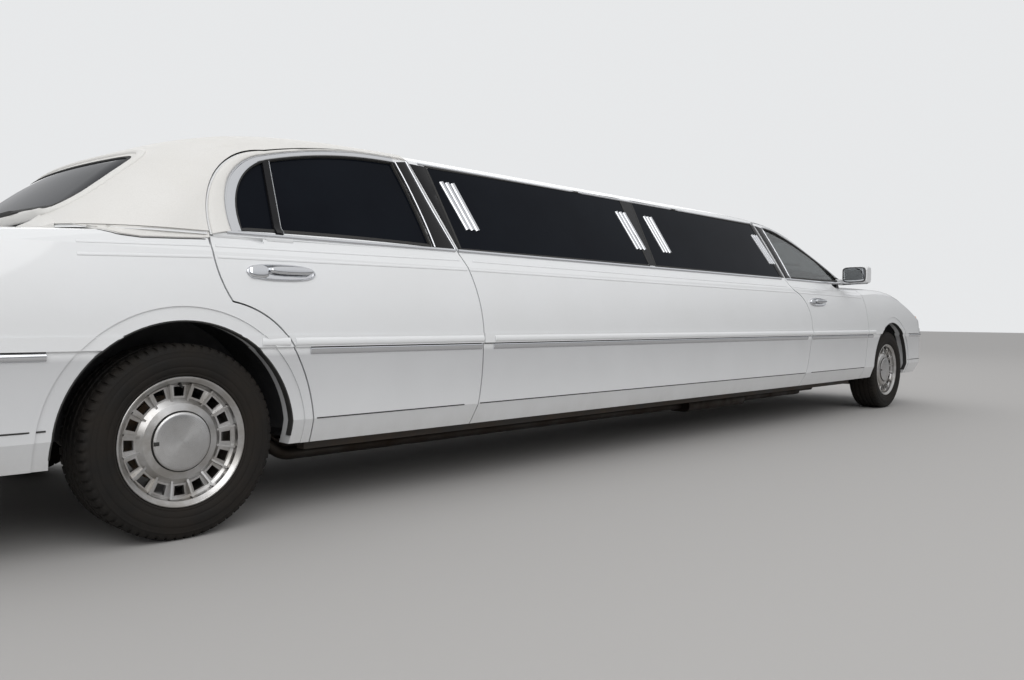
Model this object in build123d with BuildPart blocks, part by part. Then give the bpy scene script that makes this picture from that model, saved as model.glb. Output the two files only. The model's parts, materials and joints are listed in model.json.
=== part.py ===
"""Stretch limousine: a long saloon body on a separate frame.

X runs forward, Y to the left and Z up, in millimetres.
The origin lies on the ground under the middle of the length, on the centreline.
"""
import math
import os
from collections import namedtuple

from build123d import *

os.makedirs("parts", exist_ok=True)

# Overall sizes
LENGTH = 8773.0
RIB_HALF_WIDTH = 985.0
REAR_OVERHANG = 1425.0
WHEELBASE = 6292.0
TAIL_X = -LENGTH / 2
NOSE_X = LENGTH / 2
REAR_AXLE_X = TAIL_X + REAR_OVERHANG
FRONT_AXLE_X = REAR_AXLE_X + WHEELBASE

# Plan shape of the lower body
STRAIGHT_REAR_X = REAR_AXLE_X + 1060.0
STRAIGHT_FRONT_X = FRONT_AXLE_X - 1830.0
TAIL_BOW = 90.0
TAIL_HALF = 945.0
TAIL_CORNER_R = 220.0
NOSE_BOW = 150.0
NOSE_HALF = 925.0
NOSE_CORNER_R = 260.0

# Heights of the lines that run along the side
SILL_Z = 285.0
SEAM_Z = 375.0
RIB_BOTTOM_Z = 645.0
RIB_TOP_Z = 688.0
CREASE_Z = 976.0
BELT_Z = 1035.0
SHOULDER_TOP_Z = 1110.0

# Wall thicknesses and clearances
BODY_WALL = 70.0
PANEL_SKIN = 24.0
CABIN_WALL = 30.0
ROOF_SKIN = 28.0
GLASS = 5.0
SEAT_GAP = 0.3
SHUT_GAP = 6.0
PAD = 8.0

# Wheels and axles
HUB_Z = 331.0
TYRE_R = 331.0
TYRE_WIDTH = 225.0
RIM_R = 220.5
RIM_WIDTH = 196.0
REAR_TRACK = 1659.0
FRONT_TRACK = 1610.0
ARCH_R = 408.0
ARCH_BAND_R = 456.0
ARCH_BAND_DEPTH = 5.0
KINGPIN_Y = 716.0
KNUCKLE_LOW_Z = 205.0
KNUCKLE_HIGH_Z = 450.0
HUB_FACE = 62.0

Level = namedtuple("Level", "z inset nose_cut tail_cut")
Station = namedtuple("Station", "x rail_y rail_z crown_z")
Cove = namedtuple("Cove", "width fall")
Ring = namedtuple("Ring", "z half tail_x nose_x")

BANDS = (
    (Level(SILL_Z, 45, 60, 50), Level(SEAM_Z, 12, 12, 10)),
    (Level(SEAM_Z, 12, 12, 10), Level(RIB_BOTTOM_Z, 10, 0, 0)),
    (Level(RIB_BOTTOM_Z, 0, 40, 38), Level(RIB_TOP_Z, 0, 44, 42)),
    (Level(RIB_TOP_Z, 4, 52, 50), Level(840, 14, 92, 82), Level(CREASE_Z, 39, 150, 125)),
    (Level(CREASE_Z, 39, 150, 125), Level(SHOULDER_TOP_Z, 107, 215, 190)),
)

DECK_STATIONS = (
    Station(TAIL_X - 60, 800, 868, 915),
    Station(TAIL_X + 160, 822, 925, 960),
    Station(REAR_AXLE_X - 840, 848, 985, 1026),
    Station(REAR_AXLE_X - 330, 872, 1024, 1064),
    Station(REAR_AXLE_X + 300, 880, 1032, 1078),
)
HOOD_STATIONS = (
    Station(FRONT_AXLE_X - 1180, 880, 1040, 1092),
    Station(FRONT_AXLE_X - 180, 862, 1012, 1066),
    Station(FRONT_AXLE_X + 273, 842, 960, 1020),
    Station(FRONT_AXLE_X + 590, 815, 878, 942),
    Station(NOSE_X + 60, 760, 718, 826),
)
EDGE_COVE = Cove(48.0, 25.0)

CABIN_RINGS = (
    Ring(1020, 923, -3405, 2740),
    Ring(1116, 877, -3312, 2630),
    Ring(1242, 814, -3160, 2425),
    Ring(1326, 772, -3050, 2210),
    Ring(1403, 733, -2905, 1990),
    Ring(1520, 670, -2640, 1560),
)
CABIN_TAIL_BOW = 110.0
CABIN_NOSE_BOW = 215.0
CABIN_TAIL_R = 340.0
CABIN_NOSE_R = 130.0
ROOF_STATIONS_REAR = (
    Station(-3300, 600, 1165, 1180),
    Station(-2900, 610, 1379, 1395),
    Station(-2533, 620, 1453, 1470),
    Station(-2150, 625, 1476, 1490),
    Station(-1700, 625, 1481, 1495),
)
ROOF_STATIONS_FRONT = (
    Station(900, 625, 1481, 1495),
    Station(1351, 620, 1470, 1484),
    Station(1700, 610, 1437, 1452),
    Station(2044, 600, 1369, 1385),
    Station(2500, 600, 1222, 1240),
)
ROOF_COVE = Cove(104.0, 54.0)

# Shut lines of the doors, seen from the side, as chains of arcs through three points
REAR_DOOR_LINE = (
    ((-1671, 270), (-1622, 500), (-1619, 700)),
    ((-1619, 700), (-1655, 890), (-1714, BELT_Z)),
    ((-1714, BELT_Z), (-1782, 1245), (-1841, 1452)),
    ((-1841, 1452), (-2260, 1438), (-2560, 1385)),
    ((-2560, 1385), (-2790, 1265), (-2861, BELT_Z)),
    ((-2861, BELT_Z), (-2850, 915), (-2803, 808)),
    ((-2803, 808), (-2645, 735), (-2545, 605)),
    ((-2545, 605), (-2490, 440), (-2481, 270)),
)
FRONT_DOOR_LINE = (
    ((1562, 270), (1660, 480), (1695, 660)),
    ((1695, 660), (1640, 850), (1500, 955)),
    ((1500, 955), (1430, 990), (1391, BELT_Z)),
    ((1391, BELT_Z), (1345, 1235), (1276, 1440)),
    ((1276, 1440), (1700, 1400), (2010, 1275)),
    ((2010, 1275), (2235, 1160), (2420, 1045)),
    ((2420, 1045), (2520, 1050), (2612, 1050)),
    ((2612, 1050), (2718, 850), (2745, 650)),
    ((2745, 650), (2727, 470), (2665, 270)),
)
REAR_WINDOW_LINE = (
    ((-1853, 1056), (-1880, 1250), (-1925, 1432)),
    ((-1925, 1432), (-2290, 1408), (-2560, 1350)),
    ((-2560, 1350), (-2700, 1250), (-2742, 1056)),
    ((-2742, 1056), (-2300, 1062), (-1853, 1056)),
)
FRONT_WINDOW_LINE = (
    ((1480, 1050), (1440, 1245), (1388, 1412)),
    ((1388, 1412), (1700, 1375), (1990, 1250)),
    ((1990, 1250), (2180, 1145), (2315, 1056)),
    ((2315, 1056), (1900, 1049), (1480, 1050)),
)
CENTRE_WINDOWS = (
    ((-1690, 1058), (-1738, 1436), (-286, 1442), (-250, 1058)),
    ((-186, 1058), (-176, 1442), (1222, 1424), (1330, 1050)),
)
WINDOW_REBATE = 24.0
GUTTER_Z = 1454.0
DOOR_INNER_Y = 840.0
PILLAR_FOOT_X = 2425.0
WINDSHIELD = ((-800, 1082), (800, 1082), (618, 1378), (-618, 1378))
BACKLIGHT = ((-660, 1116), (660, 1116), (590, 1326), (-590, 1326))

# Plan lines of the hood and the boot lid
HOOD_REAR_X = 2570.0
HOOD_REAR_BOW = 135.0
HOOD_REAR_HALF = 778.0
HOOD_FRONT_X = 4232.0
HOOD_FRONT_BOW = 80.0
HOOD_FRONT_HALF = 640.0
LID_FRONT_X = -3462.0
LID_FRONT_HALF = 735.0
LID_REAR_HALF = 640.0
LID_BOTTOM_Z = 702.0

# Mirrors, handles, lamps and grille
MIRROR_X = 2262.0
MIRROR_Y = 1060.0
MIRROR_Z = 1104.0
FRONT_HANDLE_X = 1808.0
REAR_HANDLE_X = -2610.0
HANDLE_FRONT_Z = 888.0
HANDLE_REAR_Z = 912.0
HANDLE_Y = 962.0
HANDLE_STANDOFF = 20.0
HANDLE_LENGTH = 238.0
HEADLAMP_IN_Y = 318.0
HEADLAMP_LOW_Z = 694.0
HEADLAMP_HIGH_Z = 806.0
TAIL_LAMP_LOW_Z = 712.0
TAIL_LAMP_HIGH_Z = 886.0
LAMP_DEPTH = 36.0
GRILLE_HALF = 286.0
GRILLE_HIGH_Z = 838.0
GRILLE_DEPTH = 46.0
GRILLE_BARS = 21
VINYL_FRONT_X = -1852.0
COWL_PLAN = (
    (2160, 834), (2560, 834), (2560, 770), (2760, 600), (2760, -600), (2560, -770), (2560, -834), (2160, -834)
)
DECK_PLAN = ((-2700, 760), (-3452, 760), (-3452, -760), (-2700, -760))

# Floor, frame and wheel houses
FLOOR_HALF = 832.0
FLOOR_Z = 262.0
FLOOR_SKIN = 22.0
BOOT_FLOOR_Z = 560.0
FIREWALL_X = 2500.0
ROCKER_REAR_X = -2440.0
ROCKER_FRONT_X = 2700.0
ROCKER_TOP_Z = 350.0
FIREWALL_TOP_Z = 975.0
REAR_HOUSE_Y = 640.0
FRONT_HOUSE_Y = 520.0
HOUSE_OUT_Y = 895.0
HOUSE_SKIN = 8.0
RAIL_Y = 470.0
RAIL_WIDTH = 66.0
RAIL_TOP_Z = 239.0
RAIL_LOW_Z = 165.0
CROSS_TOP_Z = 390.0

# Inside and underneath
ENGINE_X = 3080.0
ENGINE_LOW_Z = 360.0
ENGINE_LENGTH = 640.0
ENGINE_HEIGHT = 520.0
RADIATOR_X = 4148.0
HOOD_BUFFER_Y = 300.0
HOOD_BUFFER_Z = 856.0
REAR_SEAT_FRONT_X = -1890.0
EXHAUST_Y = -598.0
EXHAUST_Z = 190.0
TAIL_PIPE_Z = 245.0
STEERING_X = 1880.0
STEERING_Y = 372.0
STEERING_Z = 925.0
STEERING_R = 178.0
COLUMN_TILT = math.radians(25)
SLOT_IN_R = 152.0
SLOT_OUT_R = 185.0
SLOT_COUNT = 16
CAP_R = 99.0


def body_outline(level, inset):
    """Plan outline of the lower body at one level, moved inward by the inset."""
    half = RIB_HALF_WIDTH - level.inset - inset
    nose_half = NOSE_HALF - level.inset - inset
    tail_half = TAIL_HALF - level.inset - inset
    nose = NOSE_X - level.nose_cut - inset
    tail = TAIL_X + level.tail_cut + inset
    nose_side = nose - NOSE_BOW
    tail_side = tail + TAIL_BOW
    with BuildSketch(Plane.XY.offset(level.z)) as outline:
        with BuildLine():
            Line((STRAIGHT_REAR_X, half), (STRAIGHT_FRONT_X, half))
            TangentArc((STRAIGHT_FRONT_X, half), (nose_side, nose_half), tangent=(1, 0))
            TangentArc((STRAIGHT_REAR_X, half), (tail_side, tail_half), tangent=(-1, 0))
            mirror(about=Plane.XZ)
            ThreePointArc((nose_side, nose_half), (nose, 0), (nose_side, -nose_half))
            ThreePointArc((tail_side, tail_half), (tail, 0), (tail_side, -tail_half))
        make_face()
        fillet(outline.vertices().group_by(Axis.X)[-1], NOSE_CORNER_R - inset)
        fillet(outline.vertices().group_by(Axis.X)[0], TAIL_CORNER_R - inset)
    return outline.sketch.face()


def side_bands(inset):
    """Solid up to the shoulder, with the grooves and ribs of the side."""
    with BuildPart() as bands:
        for levels in BANDS:
            loft([body_outline(level, inset) for level in levels])
    return bands.part


def arched_section(station, cove, drop, low):
    """Section across the car under a crowned top with a rounded rail at each side."""
    rise = station.crown_z - station.rail_z
    radius = (station.rail_y**2 + rise**2) / (2 * rise)
    slope = math.asin(station.rail_y / radius)
    rail_z = station.rail_z - drop
    cove_y = station.rail_y + cove.width
    cove_z = rail_z - cove.fall
    foot_y = cove_y + (cove_z - low) * 1.2
    with BuildSketch(Plane.YZ.offset(station.x)) as section:
        with BuildLine():
            ThreePointArc((-station.rail_y, rail_z), (0, station.crown_z - drop), (station.rail_y, rail_z))
            for side in (1, -1):
                TangentArc(
                    (side * station.rail_y, rail_z),
                    (side * cove_y, cove_z),
                    tangent=(side * math.cos(slope), -math.sin(slope)),
                )
                Line((side * cove_y, cove_z), (side * foot_y, low))
            Line((-foot_y, low), (foot_y, low))
        make_face()
    return section.sketch.face()


def box_between(low, high):
    """Box from its low corner to its high corner."""
    size = [b - a for a, b in zip(low, high)]
    centre = [(a + b) / 2 for a, b in zip(low, high)]
    return Pos(*centre) * Box(*size, mode=Mode.PRIVATE)


def top_form(drop):
    """Everything below the deck, the belt and the hood."""
    with BuildPart() as form:
        loft([arched_section(station, EDGE_COVE, drop, 0) for station in DECK_STATIONS])
        loft([arched_section(station, EDGE_COVE, drop, 0) for station in HOOD_STATIONS])
        add(box_between((DECK_STATIONS[-1].x, -1200, 0), (HOOD_STATIONS[0].x, 1200, BELT_Z)))
    return form.part


def lower_block(inset, drop):
    """The lower body as one block, its sides moved in and its top moved down."""
    return side_bands(inset) & top_form(drop)


def cabin_outline(ring, inset):
    """Plan outline of the cabin at one height."""
    half = ring.half - inset
    nose = ring.nose_x - inset
    tail = ring.tail_x + inset
    with BuildSketch(Plane.XY.offset(ring.z)) as outline:
        with BuildLine():
            Line((tail + CABIN_TAIL_BOW, half), (nose - CABIN_NOSE_BOW, half))
            mirror(about=Plane.XZ)
            ThreePointArc((nose - CABIN_NOSE_BOW, half), (nose, 0), (nose - CABIN_NOSE_BOW, -half))
            ThreePointArc((tail + CABIN_TAIL_BOW, half), (tail, 0), (tail + CABIN_TAIL_BOW, -half))
        make_face()
        fillet(outline.vertices().group_by(Axis.X)[-1], CABIN_NOSE_R - inset)
        fillet(outline.vertices().group_by(Axis.X)[0], CABIN_TAIL_R - inset)
    return outline.sketch.face()


def cabin_block(inset, drop):
    """The cabin above the belt as one block."""
    with BuildPart() as sides:
        loft([cabin_outline(ring, inset) for ring in CABIN_RINGS])
    with BuildPart() as roof:
        loft([arched_section(station, ROOF_COVE, drop, 900) for station in ROOF_STATIONS_REAR])
        loft([arched_section(station, ROOF_COVE, drop, 900) for station in ROOF_STATIONS_FRONT])
        middle = arched_section(ROOF_STATIONS_REAR[-1], ROOF_COVE, drop, 900)
        extrude(middle, amount=ROOF_STATIONS_FRONT[0].x - ROOF_STATIONS_REAR[-1].x, dir=(1, 0, 0))
    return sides.part & roof.part


def arc_outline(arcs, margin=0.0):
    """Closed outline in the side plane from a chain of arcs, moved outward by the margin."""
    with BuildSketch(Plane.XZ) as outline:
        with BuildLine():
            for start, middle, end in arcs:
                ThreePointArc(start, middle, end)
            if arcs[-1][2] != arcs[0][0]:
                Line(arcs[-1][2], arcs[0][0])
        make_face()
        if margin:
            offset(amount=margin)
    return outline.sketch


def side_prism(outline, side, start=400.0, end=1300.0):
    """Prism that runs outward on one side of the car from an outline seen from the side."""
    face = outline.face().moved(Location((0, side * start, 0)))
    return Solid.extrude(face, Vector(0, side * (end - start), 0))


def above(z):
    """Half space above a height, as a large box."""
    return box_between((-6000, -2000, z), (6000, 2000, 3000))


def left_zone(low_x, high_x, low_z=0.0, high_z=1600.0, low_y=0.0):
    """Box over a stretch of the left half of the car."""
    return box_between((low_x, low_y, low_z), (high_x, 2000, high_z))


def full_zone(low_x, high_x, low_z=0.0, high_z=1600.0):
    """Box over a stretch of the car at full width."""
    return box_between((low_x, -2000, low_z), (high_x, 2000, high_z))


def clean(shape):
    """One part from the solids of a shape, without slivers."""
    solids = [solid for solid in shape.solids() if solid.volume > 2000]
    return Part(children=[]) + solids if len(solids) > 1 else Part(solids[0].wrapped)


def save(name, shape):
    """Label a finished piece and write it."""
    piece = clean(shape)
    piece.label = name
    export_step(piece, f"parts/{name}.step")


lower_outer = lower_block(0, 0)
lower_inner = lower_block(BODY_WALL, PANEL_SKIN)
cabin_outer = cabin_block(0, 0) & above(BELT_Z)
cabin_inner = cabin_block(CABIN_WALL, ROOF_SKIN)
lower_shell = lower_outer - lower_inner - cabin_outer
cabin_shell = cabin_outer - cabin_inner
pane_seat_block = cabin_block(GLASS + 2 * SEAT_GAP, GLASS + 2 * SEAT_GAP)
pane_back_block = cabin_block(GLASS + SEAT_GAP, GLASS + SEAT_GAP)


def mirrored_pair(left):
    """A shape together with its mirror image across the centreline."""
    return left + left.mirror(Plane.XZ)


def polygon_outline(points, margin=0.0, radius=0.0):
    """Closed polygon seen from the side, with rounded corners."""
    with BuildSketch(Plane.XZ) as outline:
        with BuildLine():
            Polyline(*points, close=True)
        make_face()
        if radius:
            fillet(outline.vertices(), radius)
        if margin:
            offset(amount=margin)
    return outline.sketch


def plan_prism(points, low_z, high_z, margin=0.0):
    """Upright prism from a plan polygon, moved outward by the margin."""
    with BuildSketch(Plane.XY.offset(low_z)) as outline:
        with BuildLine():
            Polyline(*points, close=True)
        make_face()
        if margin:
            offset(amount=margin)
    return Solid.extrude(outline.sketch.face(), Vector(0, 0, high_z - low_z))


def hood_prism(margin):
    """Upright prism inside the hood's shut lines, moved outward by the margin."""
    rear = HOOD_REAR_X
    front_side = HOOD_FRONT_X - HOOD_FRONT_BOW
    with BuildSketch(Plane.XY.offset(640)) as outline:
        with BuildLine():
            ThreePointArc((rear, HOOD_REAR_HALF), (rear + HOOD_REAR_BOW, 0), (rear, -HOOD_REAR_HALF))
            Line((rear, -HOOD_REAR_HALF), (front_side, -HOOD_FRONT_HALF))
            ThreePointArc((front_side, -HOOD_FRONT_HALF), (HOOD_FRONT_X, 0), (front_side, HOOD_FRONT_HALF))
            Line((front_side, HOOD_FRONT_HALF), (rear, HOOD_REAR_HALF))
        make_face()
        if margin:
            offset(amount=margin)
    return Solid.extrude(outline.sketch.face(), Vector(0, 0, 600))


def lid_prism(margin):
    """Upright prism inside the boot lid's shut lines, moved outward by the margin."""
    rear = TAIL_X - 100
    points = (
        (LID_FRONT_X, LID_FRONT_HALF),
        (rear, LID_REAR_HALF),
        (rear, -LID_REAR_HALF),
        (LID_FRONT_X, -LID_FRONT_HALF),
    )
    return plan_prism(points, LID_BOTTOM_Z - margin, 1400, margin)


def end_window(points, margin, near_x, far_x):
    """Prism through the windscreen or the backlight, drawn from the front."""
    with BuildSketch(Plane.YZ.offset(near_x)) as outline:
        with BuildLine():
            Polyline(*points, close=True)
        make_face()
        fillet(outline.vertices(), 55)
        if margin:
            offset(amount=margin)
    return Solid.extrude(outline.sketch.face(), Vector(far_x - near_x, 0, 0))


def arch_cutter(axle_x, radius):
    """Drum that opens both wheel arches of one axle."""
    drum = Cylinder(radius, 2400, rotation=(90, 0, 0), mode=Mode.PRIVATE)
    return Pos(axle_x, 0, HUB_Z) * drum


def save_pair(name, left):
    """Write a left piece and its mirror image on the right."""
    save(f"{name}_left", left)
    save(f"{name}_right", left.mirror(Plane.XZ))


rear_arch = arch_cutter(REAR_AXLE_X - 12, ARCH_R)
front_arch = arch_cutter(FRONT_AXLE_X, ARCH_R)
band_block = lower_block(ARCH_BAND_DEPTH, 0)
rear_band = (lower_outer & arch_cutter(REAR_AXLE_X - 12, ARCH_BAND_R)) - band_block
front_band = (lower_outer & arch_cutter(FRONT_AXLE_X, ARCH_BAND_R)) - band_block

# Doors, with the seat of the pane cut into the inner half of the frame
lower_left = lower_shell & left_zone(-3000, 2800, low_y=DOOR_INNER_Y)
cabin_left = cabin_shell & left_zone(-3000, PILLAR_FOOT_X - SHUT_GAP, low_z=BELT_Z, low_y=500)
door_seat_block = cabin_block(CABIN_WALL / 2, CABIN_WALL / 2) & left_zone(-3000, 2500, low_z=BELT_Z, low_y=500)
door_pane_outer = cabin_block(CABIN_WALL / 2 + SEAT_GAP, CABIN_WALL / 2 + SEAT_GAP)
door_pane_outer = door_pane_outer & left_zone(-3000, 2500, low_z=BELT_Z + SEAT_GAP, low_y=500)
door_pane_inner = cabin_block(CABIN_WALL / 2 + SEAT_GAP + GLASS, CABIN_WALL / 2 + SEAT_GAP + GLASS)
lower_openings = []
upper_openings = []
for row, line, window in (
    ("front", FRONT_DOOR_LINE, FRONT_WINDOW_LINE),
    ("rear", REAR_DOOR_LINE, REAR_WINDOW_LINE),
):
    outline = arc_outline(line)
    window_outline = arc_outline(window)
    pane_seat = door_seat_block & side_prism(arc_outline(window, WINDOW_REBATE), 1)
    frame = (cabin_left & side_prism(outline, 1)) - [pane_seat, side_prism(window_outline, 1)]
    shell = (lower_left & side_prism(outline, 1)) + frame
    if row == "front":
        with BuildPart() as mirror_arm:
            with BuildSketch(Plane.XZ.offset(-(MIRROR_Y - 95))):
                with Locations((MIRROR_X, MIRROR_Z)):
                    RectangleRounded(96, 128, 30)
            extrude(amount=-190)
            fillet(mirror_arm.edges().filter_by(GeomType.LINE, reverse=True), 14)
        with BuildPart() as mirror_foot:
            add(box_between((MIRROR_X - 10, 860, BELT_Z + 4), (MIRROR_X + 110, MIRROR_Y - 60, BELT_Z + 40)))
            fillet(mirror_foot.edges().filter_by(Axis.Y), 12)
        shell = shell + (mirror_arm.part + (mirror_foot.part - cabin_outer))
    save_pair(f"{row}_door", shell)
    pane_prism = side_prism(arc_outline(window, WINDOW_REBATE - SEAT_GAP), 1)
    save_pair(f"{row}_door_glass", (door_pane_outer & pane_prism) - door_pane_inner)
    gap_outline = arc_outline(line, SHUT_GAP)
    lower_openings.append(side_prism(gap_outline, 1, start=DOOR_INNER_Y - SHUT_GAP))
    upper_openings.append(side_prism(gap_outline, 1, start=500) & left_zone(-3000, PILLAR_FOOT_X, low_z=BELT_Z))
print("doors")

# Handles: a bar with rounded ends on two posts
for row, x, z in (("front", FRONT_HANDLE_X, HANDLE_FRONT_Z), ("rear", REAR_HANDLE_X, HANDLE_REAR_Z)):
    with BuildPart() as grip:
        with BuildSketch(Plane.XZ.offset(-(HANDLE_Y + HANDLE_STANDOFF))):
            with Locations((x, z)):
                RectangleRounded(HANDLE_LENGTH, 36, 17.5)
        extrude(amount=-15)
        fillet(grip.faces().sort_by(Axis.Y)[-1].edges(), 4)
    with BuildPart() as posts:
        with Locations((x - HANDLE_LENGTH / 2 + 26, HANDLE_Y, z), (x + HANDLE_LENGTH / 2 - 26, HANDLE_Y, z)):
            Box(26, 70, 18)
    reach = HANDLE_LENGTH / 2 + 20
    skin = lower_outer & box_between((x - reach, 850, z - 40), (x + reach, 1100, z + 40))
    save_pair(f"{row}_handle", (grip.part + posts.part) - skin.moved(Location((0, SEAT_GAP, 0))))
print("handles")

# Hood and boot lid
nose_shell = (lower_shell & full_zone(2100, NOSE_X + 100)) - front_band
tail_shell = (lower_shell & full_zone(TAIL_X - 100, -2300)) - rear_band
headlamp_form = left_zone(
    FRONT_AXLE_X + 790, NOSE_X + 100, low_z=HEADLAMP_LOW_Z, high_z=HEADLAMP_HIGH_Z, low_y=HEADLAMP_IN_Y
)
grille_form = box_between(
    (FRONT_AXLE_X + 800, -GRILLE_HALF, RIB_BOTTOM_Z + 8), (NOSE_X + 100, GRILLE_HALF, GRILLE_HIGH_Z)
)
tail_form = left_zone(
    TAIL_X - 100, TAIL_X + 250, low_z=TAIL_LAMP_LOW_Z, high_z=TAIL_LAMP_HIGH_Z, low_y=LID_REAR_HALF + 46
)
nose_clear = box_between((4000, -700, 0), (NOSE_X + 100, 700, GRILLE_HIGH_Z + SHUT_GAP))
hood = (nose_shell & hood_prism(0)) - nose_clear
save("hood", hood)
save("boot_lid", tail_shell & lid_prism(0))
print("lids")

# Bumpers, up to the rib
front_bumper_zone = full_zone(FRONT_AXLE_X + 380, NOSE_X + 100, high_z=RIB_BOTTOM_Z)
rear_bumper_zone = full_zone(TAIL_X - 100, REAR_AXLE_X - 380, high_z=RIB_BOTTOM_Z)
save("front_bumper", (nose_shell & front_bumper_zone) - front_arch)
save("rear_bumper", (tail_shell & rear_bumper_zone) - rear_arch)

# Lamps: lenses with the shape of the body's corners
nose_block = lower_outer & full_zone(NOSE_X - 460, NOSE_X + 100, low_z=600)
tail_block = lower_outer & full_zone(TAIL_X - 100, TAIL_X + 400, low_z=600)
headlamp = (nose_block & headlamp_form) - nose_block.moved(Location((-LAMP_DEPTH, -LAMP_DEPTH * 0.7, 0)))
tail_lamp = (tail_block & tail_form) - tail_block.moved(Location((LAMP_DEPTH, -LAMP_DEPTH * 0.7, 0)))
save("headlamps", mirrored_pair(headlamp))
save("tail_lamps", mirrored_pair(tail_lamp))
print("lamps")

# Grille: a frame that follows the nose, with upright bars set back in it
grille_window = box_between(
    (FRONT_AXLE_X + 700, -GRILLE_HALF + 18, RIB_BOTTOM_Z + 26),
    (NOSE_X + 200, GRILLE_HALF - 18, GRILLE_HIGH_Z - 20),
)
grille_nose = nose_block & grille_form
grille_frame = grille_nose - [nose_block.moved(Location((-GRILLE_DEPTH, 0, 0))), grille_window]
bar_pitch = 2 * (GRILLE_HALF - 18) / (GRILLE_BARS + 1)
bar_low_z = RIB_BOTTOM_Z + 20
bars = []
for index in range(GRILLE_BARS):
    bar_y = -GRILLE_HALF + 18 + bar_pitch * (index + 1)
    front_x = NOSE_X - 44 - NOSE_BOW * (bar_y / NOSE_HALF) ** 2
    with BuildPart() as bar:
        with BuildSketch(Plane.XZ.offset(-(bar_y - 4))):
            with BuildLine():
                Polyline(
                    (front_x - GRILLE_DEPTH + 8, bar_low_z),
                    (front_x - 8, bar_low_z),
                    (front_x - 52, GRILLE_HIGH_Z - 16),
                    (front_x - 78, GRILLE_HIGH_Z - 16),
                    close=True,
                )
            make_face()
        extrude(amount=-8)
    bars.append(bar.part)
save("grille", grille_frame + bars)
print("grille")

# Panels beside and between the doors and lids
fender = (nose_shell & left_zone(2400, NOSE_X + 100, low_y=0.2)) - [
    lower_openings[0],
    hood_prism(SHUT_GAP),
    front_bumper_zone,
    front_arch,
    headlamp_form,
    grille_form,
    plan_prism(COWL_PLAN, 700, 1400),
]
save_pair("front_fender", fender)
cowl = (nose_shell & plan_prism(COWL_PLAN, 900, 1400)) - [hood_prism(SHUT_GAP)]
save("cowl", cowl - mirrored_pair(lower_openings[0]))
shelf_cut = left_zone(-2870, -2200, low_z=1000, high_z=1100)
with BuildPart() as buffer:
    add(box_between((TAIL_X + 74, 260, LID_BOTTOM_Z - 12), (TAIL_X + 96, 340, LID_BOTTOM_Z - SEAT_GAP)))
quarter = (tail_shell & left_zone(TAIL_X - 100, -2400, low_y=0.2)) - [
    lower_openings[1],
    lid_prism(SHUT_GAP),
    rear_bumper_zone,
    rear_arch,
    tail_form,
    plan_prism(DECK_PLAN, 900, 1400),
    shelf_cut,
]
save_pair("rear_quarter", quarter + buffer.part)
save("deck_panel", (tail_shell & plan_prism(DECK_PLAN, 900, 1400)) - [lid_prism(SHUT_GAP)])
print("panels")

# Fixed centre sides, from sill to gutter, with seats for the flush panes
centre_lower = (lower_shell & left_zone(-1846, 1800, high_z=BELT_Z, low_y=DOOR_INNER_Y)) - lower_openings
centre_outline = (
    (-1846, BELT_Z), (-1846, GUTTER_Z), (1280, GUTTER_Z), (1280, 1436), (1400, 1436), (1400, BELT_Z)
)
centre_zone = side_prism(polygon_outline(centre_outline), 1, start=600)
centre_upper = (cabin_shell & centre_zone) - upper_openings
panes = []
for points in CENTRE_WINDOWS:
    seat = side_prism(polygon_outline(points, radius=18), 1)
    hole = side_prism(polygon_outline(points, -WINDOW_REBATE, radius=18), 1)
    centre_upper = centre_upper - [(cabin_outer & seat) - pane_seat_block, hole]
    pane_prism = side_prism(polygon_outline(points, -SEAT_GAP, radius=18), 1)
    panes.append((cabin_outer & pane_prism) - pane_back_block)
save_pair("centre_side", centre_lower + centre_upper)
save("centre_glass", mirrored_pair(panes[0] + panes[1]))
print("centre")

# Windscreen, backlight and roof
roof = cabin_shell - [mirrored_pair(zone) for zone in (*upper_openings, centre_zone)]
for name, points, near_x, far_x in (
    ("windshield", WINDSHIELD, 1500, 3000),
    ("backlight", BACKLIGHT, -2700, -3700),
):
    seat = cabin_outer & end_window(points, 0, near_x, far_x)
    roof = roof - [seat - pane_seat_block, end_window(points, -WINDOW_REBATE, near_x, far_x)]
    save(name, (cabin_outer & end_window(points, -SEAT_GAP, near_x, far_x)) - pane_back_block)
save("roof", roof)
print("roof")

# Padded covering of the rear roof
vinyl_zone = full_zone(TAIL_X, VINYL_FRONT_X, low_z=BELT_Z + 12)
vinyl = (cabin_block(-PAD, -PAD) & vinyl_zone) - [
    cabin_block(-SEAT_GAP, -SEAT_GAP),
    mirrored_pair(upper_openings[1]),
    end_window(BACKLIGHT, 4, -2700, -3700),
]
save("vinyl_top", vinyl)
print("vinyl")

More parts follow.
